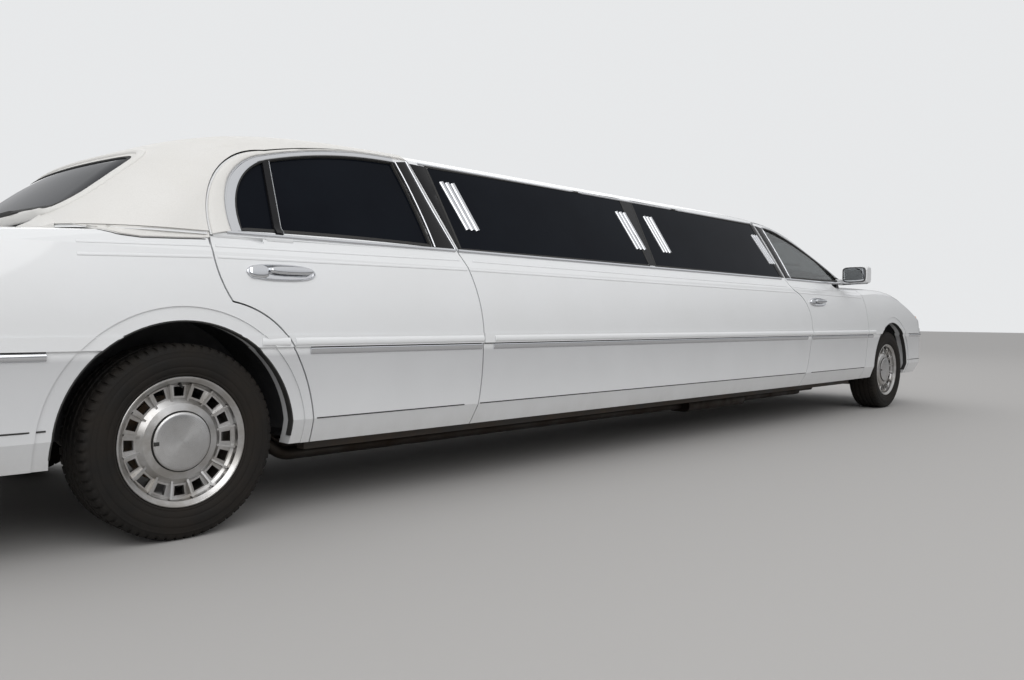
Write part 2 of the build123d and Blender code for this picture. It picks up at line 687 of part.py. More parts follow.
# Floor, kicked up over the rear axle, with the tunnel and the toe board
toe_x = FIREWALL_X - 260
kick_x = REAR_AXLE_X + 640
with BuildPart() as floor:
    with BuildSketch(Plane.XZ.offset(FLOOR_HALF)):
        with BuildLine():
            Polyline(
                (FIREWALL_X, FIREWALL_TOP_Z),
                (FIREWALL_X, 470),
                (toe_x, FLOOR_Z),
                (kick_x, FLOOR_Z),
                (kick_x - 160, BOOT_FLOOR_Z),
                (TAIL_X + 150, BOOT_FLOOR_Z),
                (TAIL_X + 150, BOOT_FLOOR_Z - FLOOR_SKIN),
                (kick_x - 160 - 12, BOOT_FLOOR_Z - FLOOR_SKIN),
                (kick_x - 12, FLOOR_Z - FLOOR_SKIN),
                (toe_x + 8, FLOOR_Z - FLOOR_SKIN),
                (FIREWALL_X + FLOOR_SKIN, 470 - 12),
                (FIREWALL_X + FLOOR_SKIN, FIREWALL_TOP_Z),
                close=True,
            )
        make_face()
    extrude(amount=-2 * FLOOR_HALF)
    with BuildSketch(Plane.YZ.offset(REAR_SEAT_FRONT_X + SEAT_GAP)):
        with BuildLine():
            Polyline((-115, FLOOR_Z), (-80, FLOOR_Z + 95), (80, FLOOR_Z + 95), (115, FLOOR_Z), close=True)
        make_face()
    extrude(amount=toe_x - REAR_SEAT_FRONT_X - SEAT_GAP)
houses = []
for axle_x, wall_y in ((REAR_AXLE_X - 12, REAR_HOUSE_Y), (FRONT_AXLE_X, FRONT_HOUSE_Y)):
    with BuildPart() as house:
        with BuildSketch(Plane.XZ.offset(-(wall_y - HOUSE_SKIN))):
            with Locations((axle_x, HUB_Z)):
                Circle(ARCH_R + 22 + HOUSE_SKIN)
            with Locations((axle_x, HUB_Z - 500)):
                Rectangle(2000, 1000, mode=Mode.SUBTRACT)
        extrude(amount=-(HOUSE_OUT_Y - wall_y + HOUSE_SKIN))
        with BuildSketch(Plane.XZ.offset(-wall_y)):
            with Locations((axle_x, HUB_Z)):
                Circle(ARCH_R + 22)
        extrude(amount=-(HOUSE_OUT_Y - wall_y), mode=Mode.SUBTRACT)
    houses.append(house.part & lower_inner)
axle_gap = box_between((REAR_AXLE_X - 60, 0, 0), (REAR_AXLE_X + 60, REAR_HOUSE_Y + 1, HUB_Z + 100))
arm_gap = box_between((FRONT_AXLE_X - 150, 0, 0), (FRONT_AXLE_X + 150, FRONT_HOUSE_Y + 1, KNUCKLE_HIGH_Z + 24))
houses[0] = houses[0] - axle_gap
houses[1] = houses[1] - arm_gap
floor_cuts = [
    box_between((axle_x - ARCH_R - 32, wall_y - HOUSE_SKIN - SEAT_GAP, 0), (axle_x + ARCH_R + 32, 2000, 900))
    for axle_x, wall_y in ((REAR_AXLE_X - 12, REAR_HOUSE_Y), (FRONT_AXLE_X, FRONT_HOUSE_Y))
]
rocker_zone = left_zone(ROCKER_REAR_X, ROCKER_FRONT_X, low_z=SILL_Z, high_z=ROCKER_TOP_Z, low_y=FLOOR_HALF - 50)
rocker = lower_block(BODY_WALL + SEAT_GAP, PANEL_SKIN) & rocker_zone
upstand = box_between(
    (ROCKER_REAR_X, FLOOR_HALF - 50, FLOOR_Z - FLOOR_SKIN), (ROCKER_FRONT_X, FLOOR_HALF, ROCKER_TOP_Z)
)
floor_corner = box_between((TAIL_X + 100, 740, 500), (TAIL_X + 260, 900, 600))
floor_whole = floor.part + mirrored_pair(rocker + upstand)
save("floor_pan", floor_whole - mirrored_pair(floor_cuts[0] + floor_cuts[1] + floor_corner))
save("wheel_houses", mirrored_pair(houses[0] + houses[1]))

# Frame: two boxed rails, raised over the axles, tied by crossmembers
with BuildPart() as rail:
    with BuildSketch(Plane.XZ.offset(-(RAIL_Y - RAIL_WIDTH / 2))):
        with BuildLine():
            Polyline(
                (TAIL_X + 140, 360),
                (TAIL_X + 140, 430),
                (REAR_AXLE_X + 380, 480),
                (REAR_AXLE_X + 590, RAIL_TOP_Z),
                (FRONT_AXLE_X - 640, RAIL_TOP_Z),
                (FRONT_AXLE_X - 430, 400),
                (NOSE_X - 195, 400),
                (NOSE_X - 195, 300),
                (FRONT_AXLE_X - 400, 300),
                (FRONT_AXLE_X - 600, RAIL_LOW_Z),
                (REAR_AXLE_X + 600, RAIL_LOW_Z),
                (REAR_AXLE_X + 420, 405),
                close=True,
            )
        make_face()
    extrude(amount=-RAIL_WIDTH)
crossmembers = [
    box_between((x - 40, -RAIL_Y, low_z), (x + 40, RAIL_Y, high_z))
    for x, low_z, high_z in (
        (TAIL_X + 200, 370, 425),
        (REAR_AXLE_X + 900, RAIL_LOW_Z + 8, RAIL_TOP_Z - 6),
        (-700, RAIL_LOW_Z + 8, RAIL_TOP_Z - 6),
        (1000, RAIL_LOW_Z + 8, RAIL_TOP_Z - 6),
        (RADIATOR_X, 310, CROSS_TOP_Z),
    )
]
front_cross = box_between((FRONT_AXLE_X - 90, -RAIL_Y, 262), (FRONT_AXLE_X + 90, RAIL_Y, 330))
engine_mounts = [
    box_between(
        (FRONT_AXLE_X - 70, side * 190 - 45, 300),
        (FRONT_AXLE_X + 30, side * 190 + 45, ENGINE_LOW_Z - SEAT_GAP),
    )
    for side in (1, -1)
]
arms = []
for arm_z, reach in ((KNUCKLE_LOW_Z, 34.0), (KNUCKLE_HIGH_Z, 26.0)):
    with BuildPart() as arm:
        with BuildSketch(Plane.XY.offset(arm_z - 14)):
            with BuildLine():
                Polyline(
                    (FRONT_AXLE_X - 118, RAIL_Y),
                    (FRONT_AXLE_X - reach, KINGPIN_Y),
                    (FRONT_AXLE_X + reach, KINGPIN_Y),
                    (FRONT_AXLE_X + 118, RAIL_Y),
                    close=True,
                )
            make_face()
            with Locations((FRONT_AXLE_X, KINGPIN_Y)):
                Circle(reach)
        extrude(amount=28)
    arms.append(arm.part)
tower = box_between(
    (FRONT_AXLE_X - 150, RAIL_Y - 30, 300),
    (FRONT_AXLE_X + 150, RAIL_Y + 24, KNUCKLE_HIGH_Z + 14),
)
low_block = box_between(
    (FRONT_AXLE_X - 150, RAIL_Y - 30, KNUCKLE_LOW_Z - 14),
    (FRONT_AXLE_X + 150, RAIL_Y + 24, 310),
)
frame_rails = mirrored_pair(rail.part + arms + [tower, low_block])
frame_rails = frame_rails + crossmembers + [front_cross] + engine_mounts
save("frame_rails", frame_rails)
print("floor and frame")

# Rear axle: tapered housing round the differential, with the propeller shaft running forward
flange_out_y = REAR_TRACK / 2 - HUB_FACE
with BuildPart() as axle:
    with BuildSketch(Plane.XZ.offset(-flange_out_y)):
        with Locations((REAR_AXLE_X, HUB_Z)):
            Circle(40)
    extrude(amount=2 * flange_out_y)
    with Locations((REAR_AXLE_X, 0, HUB_Z)):
        Sphere(138)
    with Locations(Plane((REAR_AXLE_X + 120, 0, HUB_Z), z_dir=(1, 0, 0))):
        Cone(95, 48, 120)
    for flange_y in (flange_out_y - 24, -flange_out_y):
        with BuildSketch(Plane.XZ.offset(-flange_y)):
            with Locations((REAR_AXLE_X, HUB_Z)):
                Circle(74)
        extrude(amount=-24)
save("rear_axle", axle.part)

# Steering knuckles: a post between the two arms, a hub flange and a steering arm
with BuildPart() as knuckle:
    with BuildSketch(Plane.XY.offset(KNUCKLE_LOW_Z + 14 + SEAT_GAP)):
        with Locations((FRONT_AXLE_X, KINGPIN_Y)):
            Circle(21)
    extrude(amount=KNUCKLE_HIGH_Z - KNUCKLE_LOW_Z - 28 - 2 * SEAT_GAP)
    knuckle_face_y = FRONT_TRACK / 2 - HUB_FACE
    with BuildSketch(Plane.XZ.offset(-KINGPIN_Y)):
        with Locations((FRONT_AXLE_X, HUB_Z)):
            Circle(40)
    extrude(amount=-(knuckle_face_y - KINGPIN_Y))
    with BuildSketch(Plane.XZ.offset(-(knuckle_face_y - 8))):
        with Locations((FRONT_AXLE_X, HUB_Z)):
            Circle(74)
    extrude(amount=-8)
    with BuildSketch(Plane.XY.offset(KNUCKLE_LOW_Z + 24)):
        with BuildLine():
            Polyline(
                (FRONT_AXLE_X, KINGPIN_Y + 14),
                (FRONT_AXLE_X - 150, KINGPIN_Y - 30),
                (FRONT_AXLE_X - 150, KINGPIN_Y - 56),
                (FRONT_AXLE_X, KINGPIN_Y - 16),
                close=True,
            )
        make_face()
    extrude(amount=18)
save_pair("knuckle", knuckle.part)

# Wheels: a slotted alloy disc in a rim, turned from one section
with BuildPart() as wheel:
    with BuildSketch(Plane.YZ):
        with BuildLine():
            Polyline(
                (-HUB_FACE + SEAT_GAP, 0),
                (-HUB_FACE + SEAT_GAP, 72),
                (36, 78),
                (48, 150),
                (46, 186),
                (-60, 190),
                (-90, 202),
                (-RIM_WIDTH / 2, 212),
                (-RIM_WIDTH / 2, RIM_R),
                (-90, RIM_R),
                (-88, 203),
                (-50, 198),
                (60, 198),
                (88, 203),
                (90, RIM_R),
                (RIM_WIDTH / 2, RIM_R),
                (RIM_WIDTH / 2, 213),
                (88, 201),
                (70, 198),
                (62, 190),
                (60, 146),
                (74, 128),
                (80, 104),
                (72, 103),
                (72, CAP_R),
                (86, CAP_R),
                (89, CAP_R - 8),
                (91, 0),
                close=True,
            )
        make_face()
    revolve(axis=Axis.Y)
    with BuildSketch(Plane.XZ.offset(-30)):
        with PolarLocations(0, SLOT_COUNT):
            Polygon((SLOT_IN_R, -16), (SLOT_OUT_R, -19), (SLOT_OUT_R, 19), (SLOT_IN_R, 16), align=None)
    extrude(amount=-50, mode=Mode.SUBTRACT)
    with BuildSketch(Plane.XY) as fin:
        Polygon(
            (SLOT_IN_R - 16, 40), (SLOT_OUT_R + 9, 50), (SLOT_OUT_R + 11, 84), (SLOT_IN_R - 20, 66), align=None
        )
    fin_solid = extrude(fin.sketch, amount=3.5, both=True, mode=Mode.PRIVATE)
    pitch = 360 / SLOT_COUNT
    for index in range(SLOT_COUNT):
        add(fin_solid.rotate(Axis.Y, (index + 0.5) * pitch))
bead_y = RIM_WIDTH / 2 - 10.3
with BuildPart() as tyre:
    with BuildSketch(Plane.YZ) as section:
        with BuildLine():
            Polyline(
                (bead_y, 204),
                (bead_y, 221),
                (101, 223),
                (TYRE_WIDTH / 2, 272),
                (105, 314),
                (84, TYRE_R),
                (-84, TYRE_R),
                (-105, 314),
                (-TYRE_WIDTH / 2, 272),
                (-101, 223),
                (-bead_y, 221),
                (-bead_y, 204),
                (-72, 204),
                (-98, 272),
                (-76, 317),
                (76, 317),
                (98, 272),
                (72, 204),
                close=True,
            )
        make_face()
    revolve(axis=Axis.Y)
for place, axle_x, track in (("front", FRONT_AXLE_X, FRONT_TRACK), ("rear", REAR_AXLE_X, REAR_TRACK)):
    at_left = Location((axle_x, track / 2, HUB_Z))
    save_pair(f"{place}_wheel", wheel.part.moved(at_left))
    save_pair(f"{place}_tyre", tyre.part.moved(at_left))
print("wheels")

# Engine, radiator, fuel tank and exhaust
with BuildPart() as engine:
    with Locations((ENGINE_X, 0, ENGINE_LOW_Z + ENGINE_HEIGHT / 2)):
        Box(ENGINE_LENGTH, 520, ENGINE_HEIGHT)
    chamfer(engine.edges().filter_by(Axis.X).group_by(Axis.Z)[-1], 120)
    with Locations((ENGINE_X - ENGINE_LENGTH / 2 - 105, 0, 380)):
        Box(210, 260, 190)
save("engine_block", engine.part)
with BuildPart() as radiator:
    with Locations((RADIATOR_X, 0, CROSS_TOP_Z + SEAT_GAP + 165)):
        Box(60, 760, 330)
    with Locations((RADIATOR_X, 0, CROSS_TOP_Z + SEAT_GAP + 342)):
        Box(60, 860, 24)
    with BuildSketch(Plane.XY.offset(CROSS_TOP_Z + SEAT_GAP + 350)):
        with Locations((RADIATOR_X, HOOD_BUFFER_Y), (RADIATOR_X, -HOOD_BUFFER_Y)):
            Circle(17)
    extrude(amount=HOOD_BUFFER_Z - CROSS_TOP_Z - SEAT_GAP - 350)
save("radiator", radiator.part - hood.moved(Location((0, 0, -SEAT_GAP))))
with BuildPart() as tank:
    with Locations((REAR_AXLE_X - 590, 0, BOOT_FLOOR_Z - FLOOR_SKIN - SEAT_GAP - 100)):
        Box(560, 820, 200)
    fillet(tank.edges().filter_by(Axis.Z), 40)
    fillet(tank.edges().filter_by(Axis.Y), 30)
save("fuel_tank", tank.part)
with BuildPart() as exhaust:
    with BuildLine() as run:
        FilletPolyline(
            (2250, EXHAUST_Y, EXHAUST_Z),
            (REAR_AXLE_X + 560, EXHAUST_Y, EXHAUST_Z),
            (REAR_AXLE_X + 240, EXHAUST_Y, 448),
            (REAR_AXLE_X - 240, EXHAUST_Y, 448),
            (REAR_AXLE_X - 600, EXHAUST_Y, TAIL_PIPE_Z),
            (TAIL_X + 60, EXHAUST_Y, TAIL_PIPE_Z),
            radius=110,
        )
    with BuildSketch(Plane(run.line @ 0, z_dir=run.line % 0)):
        Circle(27)
    sweep()
    with Locations((900, EXHAUST_Y, EXHAUST_Z)):
        Box(720, 170, 84)
    fillet(exhaust.edges().filter_by(Axis.X).filter_by(lambda e: abs(e.length - 720) < 1), 38)
save("exhaust", exhaust.part)
print("engine and exhaust")

# Seats, dashboard and steering wheel
with BuildPart() as rear_seat:
    with BuildSketch(Plane.XZ.offset(-700)):
        with BuildLine():
            Polyline(
                (REAR_SEAT_FRONT_X, FLOOR_Z + SEAT_GAP),
                (REAR_SEAT_FRONT_X, 520),
                (-2390, 492),
                (-2570, 1050),
                (-2670, 1050),
                (-2500, BOOT_FLOOR_Z + SEAT_GAP),
                (kick_x - 159.2, BOOT_FLOOR_Z + SEAT_GAP),
                (kick_x + 1, FLOOR_Z + SEAT_GAP),
                close=True,
            )
        make_face()
    extrude(amount=1400)
save("rear_seat", rear_seat.part)
with BuildPart() as side_bench:
    add(box_between((-1450, 400, FLOOR_Z + SEAT_GAP), (700, FLOOR_HALF - 50 - SEAT_GAP, 440)))
    add(box_between((-1450, 700, 440), (700, 828, 905)))
save("side_bench", side_bench.part)
front_seats = []
with BuildPart() as bucket:
    add(box_between((1170, 110, FLOOR_Z + 98), (1690, 640, 470)))
    with BuildSketch(Plane.XZ.offset(-110)):
        with BuildLine():
            Polyline((1170, 400), (1290, 400), (1190, 1090), (1090, 1090), close=True)
        make_face()
    extrude(amount=-530)
    add(box_between((1230, 180, FLOOR_Z + SEAT_GAP), (1620, 570, FLOOR_Z + 100)))
save("front_seats", mirrored_pair(bucket.part))
with BuildPart() as dash:
    with BuildSketch(Plane.XZ.offset(-822)):
        with BuildLine():
            Polyline(
                (FIREWALL_X - SEAT_GAP, 720), (FIREWALL_X - SEAT_GAP, 972), (2240, 972), (2120, 920),
                (2150, 760), (2260, 720), close=True,
            )
        make_face()
    extrude(amount=1644)
column_way = (-math.cos(COLUMN_TILT), 0, math.sin(COLUMN_TILT))
column_plane = Plane((STEERING_X, STEERING_Y, STEERING_Z), z_dir=column_way)
with BuildPart() as column:
    with BuildSketch(column_plane.offset(-26 - SEAT_GAP)):
        Circle(26)
    extrude(amount=-260)
save("dashboard", dash.part + column.part)
rim_plane = Plane(column_plane.origin, x_dir=column_plane.x_dir, z_dir=column_plane.y_dir)
with BuildPart() as steering_wheel:
    with BuildSketch(rim_plane):
        with Locations((STEERING_R, 0)):
            RegularPolygon(15, 8)
    revolve(axis=Axis(column_plane.origin, column_plane.z_dir))
    with BuildSketch(column_plane.offset(-26)):
        Circle(62)
    extrude(amount=30)
    with BuildSketch(column_plane.offset(-8)):
        Rectangle(2 * STEERING_R - 10, 36)
        Rectangle(36, 2 * STEERING_R - 10)
    extrude(amount=12)
save("steering_wheel", steering_wheel.part)
print("cabin")
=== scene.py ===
# %% [markdown]
# # A white stretch limousine
#
# The body, the wheels and everything that moves come from a CAD model of the car.
# This lesson dresses that model: paint, glass, chrome trim, tyres, cushions and the small parts
# that make a plain shape look like a car. Lengths are in metres: X runs forward, Y to the left
# and Z up, and the ground is at zero.

# %% Load the CAD model
import json
import math

import bmesh
import bpy
from mathutils import Matrix, Vector
from mathutils.bvhtree import BVHTree

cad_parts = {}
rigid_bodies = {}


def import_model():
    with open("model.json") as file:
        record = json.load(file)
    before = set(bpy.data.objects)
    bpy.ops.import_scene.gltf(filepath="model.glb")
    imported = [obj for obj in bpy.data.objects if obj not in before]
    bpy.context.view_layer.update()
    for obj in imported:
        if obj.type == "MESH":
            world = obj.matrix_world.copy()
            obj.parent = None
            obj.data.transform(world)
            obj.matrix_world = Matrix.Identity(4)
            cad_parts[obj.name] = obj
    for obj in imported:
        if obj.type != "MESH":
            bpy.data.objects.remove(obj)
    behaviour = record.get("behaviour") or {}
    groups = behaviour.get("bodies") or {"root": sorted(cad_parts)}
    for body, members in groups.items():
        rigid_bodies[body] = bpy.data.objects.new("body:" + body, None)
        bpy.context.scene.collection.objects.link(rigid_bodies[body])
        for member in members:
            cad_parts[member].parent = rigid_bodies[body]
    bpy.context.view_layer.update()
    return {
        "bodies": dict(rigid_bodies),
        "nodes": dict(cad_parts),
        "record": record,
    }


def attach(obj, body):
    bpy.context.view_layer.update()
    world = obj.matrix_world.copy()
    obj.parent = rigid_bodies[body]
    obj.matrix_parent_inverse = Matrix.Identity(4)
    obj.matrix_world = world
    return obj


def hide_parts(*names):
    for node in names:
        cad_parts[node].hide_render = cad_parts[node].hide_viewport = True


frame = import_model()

bodies = frame["bodies"]
nodes = frame["nodes"]
print("bodies:", len(bodies), "nodes:", len(nodes))

# %% [markdown]
# ## Camera
#
# The photograph was taken by somebody crouching near the right rear corner, with the lens about
# three quarters of a metre above the ground. A camera can be aimed by hand or given a direction
# in numbers. Numbers are better here: compass turn, tilt and roll each change one thing, so the
# tyres and the roof line can be brought onto their places in the photograph one at a time.

# %% Place the camera
camera_data = bpy.data.cameras.new("photo_camera")
camera_data.lens = 29.81
camera_data.sensor_width = 36.0
camera_data.clip_end = 200.0
camera = bpy.data.objects.new("photo_camera", camera_data)
bpy.context.scene.collection.objects.link(camera)
bpy.context.scene.camera = camera
bpy.context.scene.view_settings.view_transform = "Standard"


def aim_camera(place, turn, tilt, roll):
    """Point the camera: turn is measured from +Y towards +X, all angles in radians."""
    forward = Vector((math.sin(turn) * math.cos(tilt), math.cos(turn) * math.cos(tilt), math.sin(tilt)))
    right = Vector((math.cos(turn), -math.sin(turn), 0.0))
    up = right.cross(forward)
    rolled_right = right * math.cos(roll) + up * math.sin(roll)
    rolled_up = up * math.cos(roll) - right * math.sin(roll)
    axes = Matrix((rolled_right, rolled_up, -forward)).transposed()
    camera.matrix_world = Matrix.Translation(place) @ axes.to_4x4()


aim_camera(Vector((-4.2346, -3.6932, 0.7590)), turn=0.8009, tilt=-0.0268, roll=0.0084)
print("camera at", [round(v, 3) for v in camera.matrix_world.translation])

# %% [markdown]
# ## Floor and light
#
# A white car needs soft light from large sources, so that its curves show as gentle changes of
# tone. The sky of the world does most of the work, brighter overhead than at the horizon, and two
# wide lamps give the direction. The floor is pale and plain. What the camera sees behind the car
# is set apart from the light: the Light Path node hands a pale tone to the camera's rays only,
# so the background is bright while the car keeps its own colour.

# %% Make the floor
floor_data = bpy.data.meshes.new("studio_floor")
floor_shape = bmesh.new()
bmesh.ops.create_grid(floor_shape, x_segments=8, y_segments=8, size=60.0)
floor_shape.to_mesh(floor_data)
floor_shape.free()
floor = bpy.data.objects.new("studio_floor", floor_data)
bpy.context.scene.collection.objects.link(floor)

floor_material = bpy.data.materials.new("studio_floor")
floor_material.use_nodes = True
floor_nodes = floor_material.node_tree.nodes
floor_shader = floor_nodes["Principled BSDF"]
floor_shader.inputs["Base Color"].default_value = (0.42, 0.41, 0.40, 1.0)
floor_shader.inputs["Roughness"].default_value = 0.75
floor_data.materials.append(floor_material)
print("floor", floor.dimensions[:])

# %% Make the sky
world = bpy.data.worlds.new("studio_sky")
bpy.context.scene.world = world
world.use_nodes = True
sky_nodes = world.node_tree.nodes
sky_links = world.node_tree.links
sky_nodes.clear()
sky_output = sky_nodes.new("ShaderNodeOutputWorld")
sky_place = sky_nodes.new("ShaderNodeTexCoord")
sky_split = sky_nodes.new("ShaderNodeSeparateXYZ")
sky_links.new(sky_place.outputs["Generated"], sky_split.inputs["Vector"])
sky_ramp = sky_nodes.new("ShaderNodeValToRGB")
sky_ramp.color_ramp.elements[0].position = 0.0
sky_ramp.color_ramp.elements[0].color = (0.20, 0.205, 0.21, 1.0)
sky_ramp.color_ramp.elements[1].position = 1.0
sky_ramp.color_ramp.elements[1].color = (1.0, 1.0, 1.0, 1.0)
for position, tone in ((0.03, 0.22), (0.10, 0.34), (0.20, 0.70), (0.40, 0.95)):
    element = sky_ramp.color_ramp.elements.new(position)
    element.color = (tone, tone * 1.01, tone * 1.03, 1.0)
sky_links.new(sky_split.outputs["Z"], sky_ramp.inputs["Fac"])
sky_light = sky_nodes.new("ShaderNodeBackground")
sky_light.inputs["Strength"].default_value = 0.82
sky_links.new(sky_ramp.outputs["Color"], sky_light.inputs["Color"])
sky_view = sky_nodes.new("ShaderNodeBackground")
sky_view.inputs["Color"].default_value = (0.80, 0.81, 0.82, 1.0)
sky_view.inputs["Strength"].default_value = 1.0
sky_path = sky_nodes.new("ShaderNodeLightPath")
sky_mix = sky_nodes.new("ShaderNodeMixShader")
sky_links.new(sky_path.outputs["Is Camera Ray"], sky_mix.inputs["Fac"])
sky_links.new(sky_light.outputs["Background"], sky_mix.inputs[1])
sky_links.new(sky_view.outputs["Background"], sky_mix.inputs[2])
sky_links.new(sky_mix.outputs["Shader"], sky_output.inputs["Surface"])
print("sky tones:", len(sky_ramp.color_ramp.elements))


# %% Hang the lamps
def hang_lamp(name, place, target, size, power):
    """A square soft lamp at a place, turned towards a target."""
    data = bpy.data.lights.new(name, "AREA")
    data.shape = "RECTANGLE"
    data.size, data.size_y = size
    data.energy = power
    lamp = bpy.data.objects.new(name, data)
    bpy.context.scene.collection.objects.link(lamp)
    lamp.location = place
    lamp.rotation_mode = "QUATERNION"
    lamp.rotation_quaternion = (Vector(target) - Vector(place)).to_track_quat("-Z", "Y")
    return lamp


hang_lamp("key_lamp", (-6.0, -9.0, 7.5), (0.0, 0.0, 0.6), (15.0, 8.0), 640.0)
hang_lamp("fill_lamp", (6.0, 9.0, 6.5), (0.0, 0.0, 0.6), (15.0, 8.0), 270.0)
print("lamps:", len(bpy.data.lights))

# %% [markdown]
# ## Effects shared by the finishes
#
# Real surfaces are never one even colour. Road dust gathers low on the body, paint shines a little
# less in some places than in others, leather and vinyl have a grain. Each effect is made once as a
# node group with named sockets. A group gives out a mask, a colour or a height, and the material
# decides what to do with it. The position of the surface in the model drives them all, so the
# effect stays put when a door opens and needs no unwrapping.

# %% A helper that starts a node group
def start_group(name, inputs, outputs):
    """A new shader node group with its sockets, and its input and output nodes."""
    group = bpy.data.node_groups.new(name, "ShaderNodeTree")
    for label, kind, value in inputs:
        socket = group.interface.new_socket(label, in_out="INPUT", socket_type=kind)
        if value is not None:
            socket.default_value = value
    for label, kind in outputs:
        group.interface.new_socket(label, in_out="OUTPUT", socket_type=kind)
    entry = group.nodes.new("NodeGroupInput")
    leave = group.nodes.new("NodeGroupOutput")
    return group, entry, leave


def feed(tree, socket, value):
    """Link a socket to an input, or set the input to a number, a colour or a vector."""
    if hasattr(value, "is_linked"):
        tree.links.new(value, socket)
    else:
        socket.default_value = value


def math_node(tree, operation, first, second=None, clamp=False):
    """One Math node whose inputs are sockets or numbers. Returns its output."""
    node = tree.nodes.new("ShaderNodeMath")
    node.operation = operation
    node.use_clamp = clamp
    for index, value in enumerate((first, second)):
        if value is not None:
            feed(tree, node.inputs[index], value)
    return node.outputs["Value"]


def mix_node(tree, factor, first, second):
    """One colour Mix node. Returns its result."""
    node = tree.nodes.new("ShaderNodeMix")
    node.data_type = "RGBA"
    for label, value in (("Factor", factor), ("A", first), ("B", second)):
        feed(tree, node.inputs[label], value)
    return node.outputs["Result"]


def noise_node(tree, vector, scale, detail=4.0, rough=0.55):
    """One Noise Texture node on a position. Returns its factor."""
    node = tree.nodes.new("ShaderNodeTexNoise")
    feed(tree, node.inputs["Vector"], vector)
    feed(tree, node.inputs["Scale"], scale)
    node.inputs["Detail"].default_value = detail
    node.inputs["Roughness"].default_value = rough
    return node.outputs["Fac"]


def spread(tree, value, low, high, to_low=0.0, to_high=1.0):
    """Map a value from one range to another, kept inside the second."""
    node = tree.nodes.new("ShaderNodeMapRange")
    node.clamp = True
    limits = (("From Min", low), ("From Max", high), ("To Min", to_low), ("To Max", to_high))
    for label, number in (("Value", value), *limits):
        feed(tree, node.inputs[label], number)
    return node.outputs["Result"]


# %% Road dust, thickest low on the body
dust_group, dust_in, dust_out = start_group(
    "road_dust",
    (
        ("Position", "NodeSocketVector", None),
        ("Clean Colour", "NodeSocketColor", (0.8, 0.8, 0.8, 1.0)),
        ("Dust Colour", "NodeSocketColor", (0.28, 0.25, 0.21, 1.0)),
        ("Low", "NodeSocketFloat", 0.28),
        ("High", "NodeSocketFloat", 0.62),
        ("Amount", "NodeSocketFloat", 0.5),
    ),
    (("Colour", "NodeSocketColor"), ("Mask", "NodeSocketFloat")),
)
split = dust_group.nodes.new("ShaderNodeSeparateXYZ")
dust_group.links.new(dust_in.outputs["Position"], split.inputs["Vector"])
height_mask = spread(dust_group, split.outputs["Z"], dust_in.outputs["Low"], dust_in.outputs["High"], 1.0, 0.0)
stretched = dust_group.nodes.new("ShaderNodeMapping")
stretched.inputs["Scale"].default_value = (1.0, 1.0, 0.35)
dust_group.links.new(dust_in.outputs["Position"], stretched.inputs["Vector"])
blotch = spread(dust_group, noise_node(dust_group, stretched.outputs["Vector"], 9.0, 5.0, 0.6), 0.35, 0.75)
grains = noise_node(dust_group, dust_in.outputs["Position"], 160.0, 3.0, 0.7)
speck = spread(dust_group, grains, 0.45, 0.75, 0.5, 1.0)
squared = math_node(dust_group, "POWER", height_mask, 1.6)
mask = math_node(dust_group, "MULTIPLY", squared, math_node(dust_group, "MULTIPLY", blotch, speck))
mask = math_node(dust_group, "ADD", mask, math_node(dust_group, "MULTIPLY", squared, 0.35))
mask = math_node(dust_group, "MULTIPLY", mask, dust_in.outputs["Amount"], clamp=True)
blend = mix_node(dust_group, mask, dust_in.outputs["Clean Colour"], dust_in.outputs["Dust Colour"])
dust_group.links.new(blend, dust_out.inputs["Colour"])
dust_group.links.new(mask, dust_out.inputs["Mask"])
print("group", dust_group.name, "nodes", len(dust_group.nodes))

# %% Uneven tone, for paint, rubber, leather and metal
tone_group, tone_in, tone_out = start_group(
    "uneven_tone",
    (
        ("Position", "NodeSocketVector", None),
        ("Colour A", "NodeSocketColor", (0.8, 0.8, 0.8, 1.0)),
        ("Colour B", "NodeSocketColor", (0.7, 0.7, 0.7, 1.0)),
        ("Scale", "NodeSocketFloat", 5.0),
        ("Contrast", "NodeSocketFloat", 0.15),
    ),
    (("Colour", "NodeSocketColor"), ("Mask", "NodeSocketFloat")),
)
tone_noise = noise_node(tone_group, tone_in.outputs["Position"], tone_in.outputs["Scale"], 6.0, 0.6)
tone_low = math_node(tone_group, "SUBTRACT", 0.5, tone_in.outputs["Contrast"])
tone_high = math_node(tone_group, "ADD", 0.5, tone_in.outputs["Contrast"])
tone_mask = spread(tone_group, tone_noise, tone_low, tone_high)
tone_mix = mix_node(tone_group, tone_mask, tone_in.outputs["Colour A"], tone_in.outputs["Colour B"])
tone_group.links.new(tone_mix, tone_out.inputs["Colour"])
tone_group.links.new(tone_mask, tone_out.inputs["Mask"])
print("group", tone_group.name, "nodes", len(tone_group.nodes))

# %% Pebbled grain, for vinyl, leather and moulded plastic
grain_group, grain_in, grain_out = start_group(
    "pebbled_grain",
    (
        ("Position", "NodeSocketVector", None),
        ("Pebbles Per Metre", "NodeSocketFloat", 400.0),
        ("Crease", "NodeSocketFloat", 0.25),
    ),
    (("Height", "NodeSocketFloat"), ("Valley", "NodeSocketFloat")),
)
pebbles = grain_group.nodes.new("ShaderNodeTexVoronoi")
pebbles.feature = "DISTANCE_TO_EDGE"
grain_group.links.new(grain_in.outputs["Position"], pebbles.inputs["Vector"])
grain_group.links.new(grain_in.outputs["Pebbles Per Metre"], pebbles.inputs["Scale"])
crown = spread(grain_group, pebbles.outputs["Distance"], 0.0, grain_in.outputs["Crease"])
fine = noise_node(grain_group, grain_in.outputs["Position"], math_node(
    grain_group, "MULTIPLY", grain_in.outputs["Pebbles Per Metre"], 2.5), 3.0, 0.6)
height = math_node(grain_group, "ADD", crown, math_node(grain_group, "MULTIPLY", fine, 0.35))
grain_group.links.new(height, grain_out.inputs["Height"])
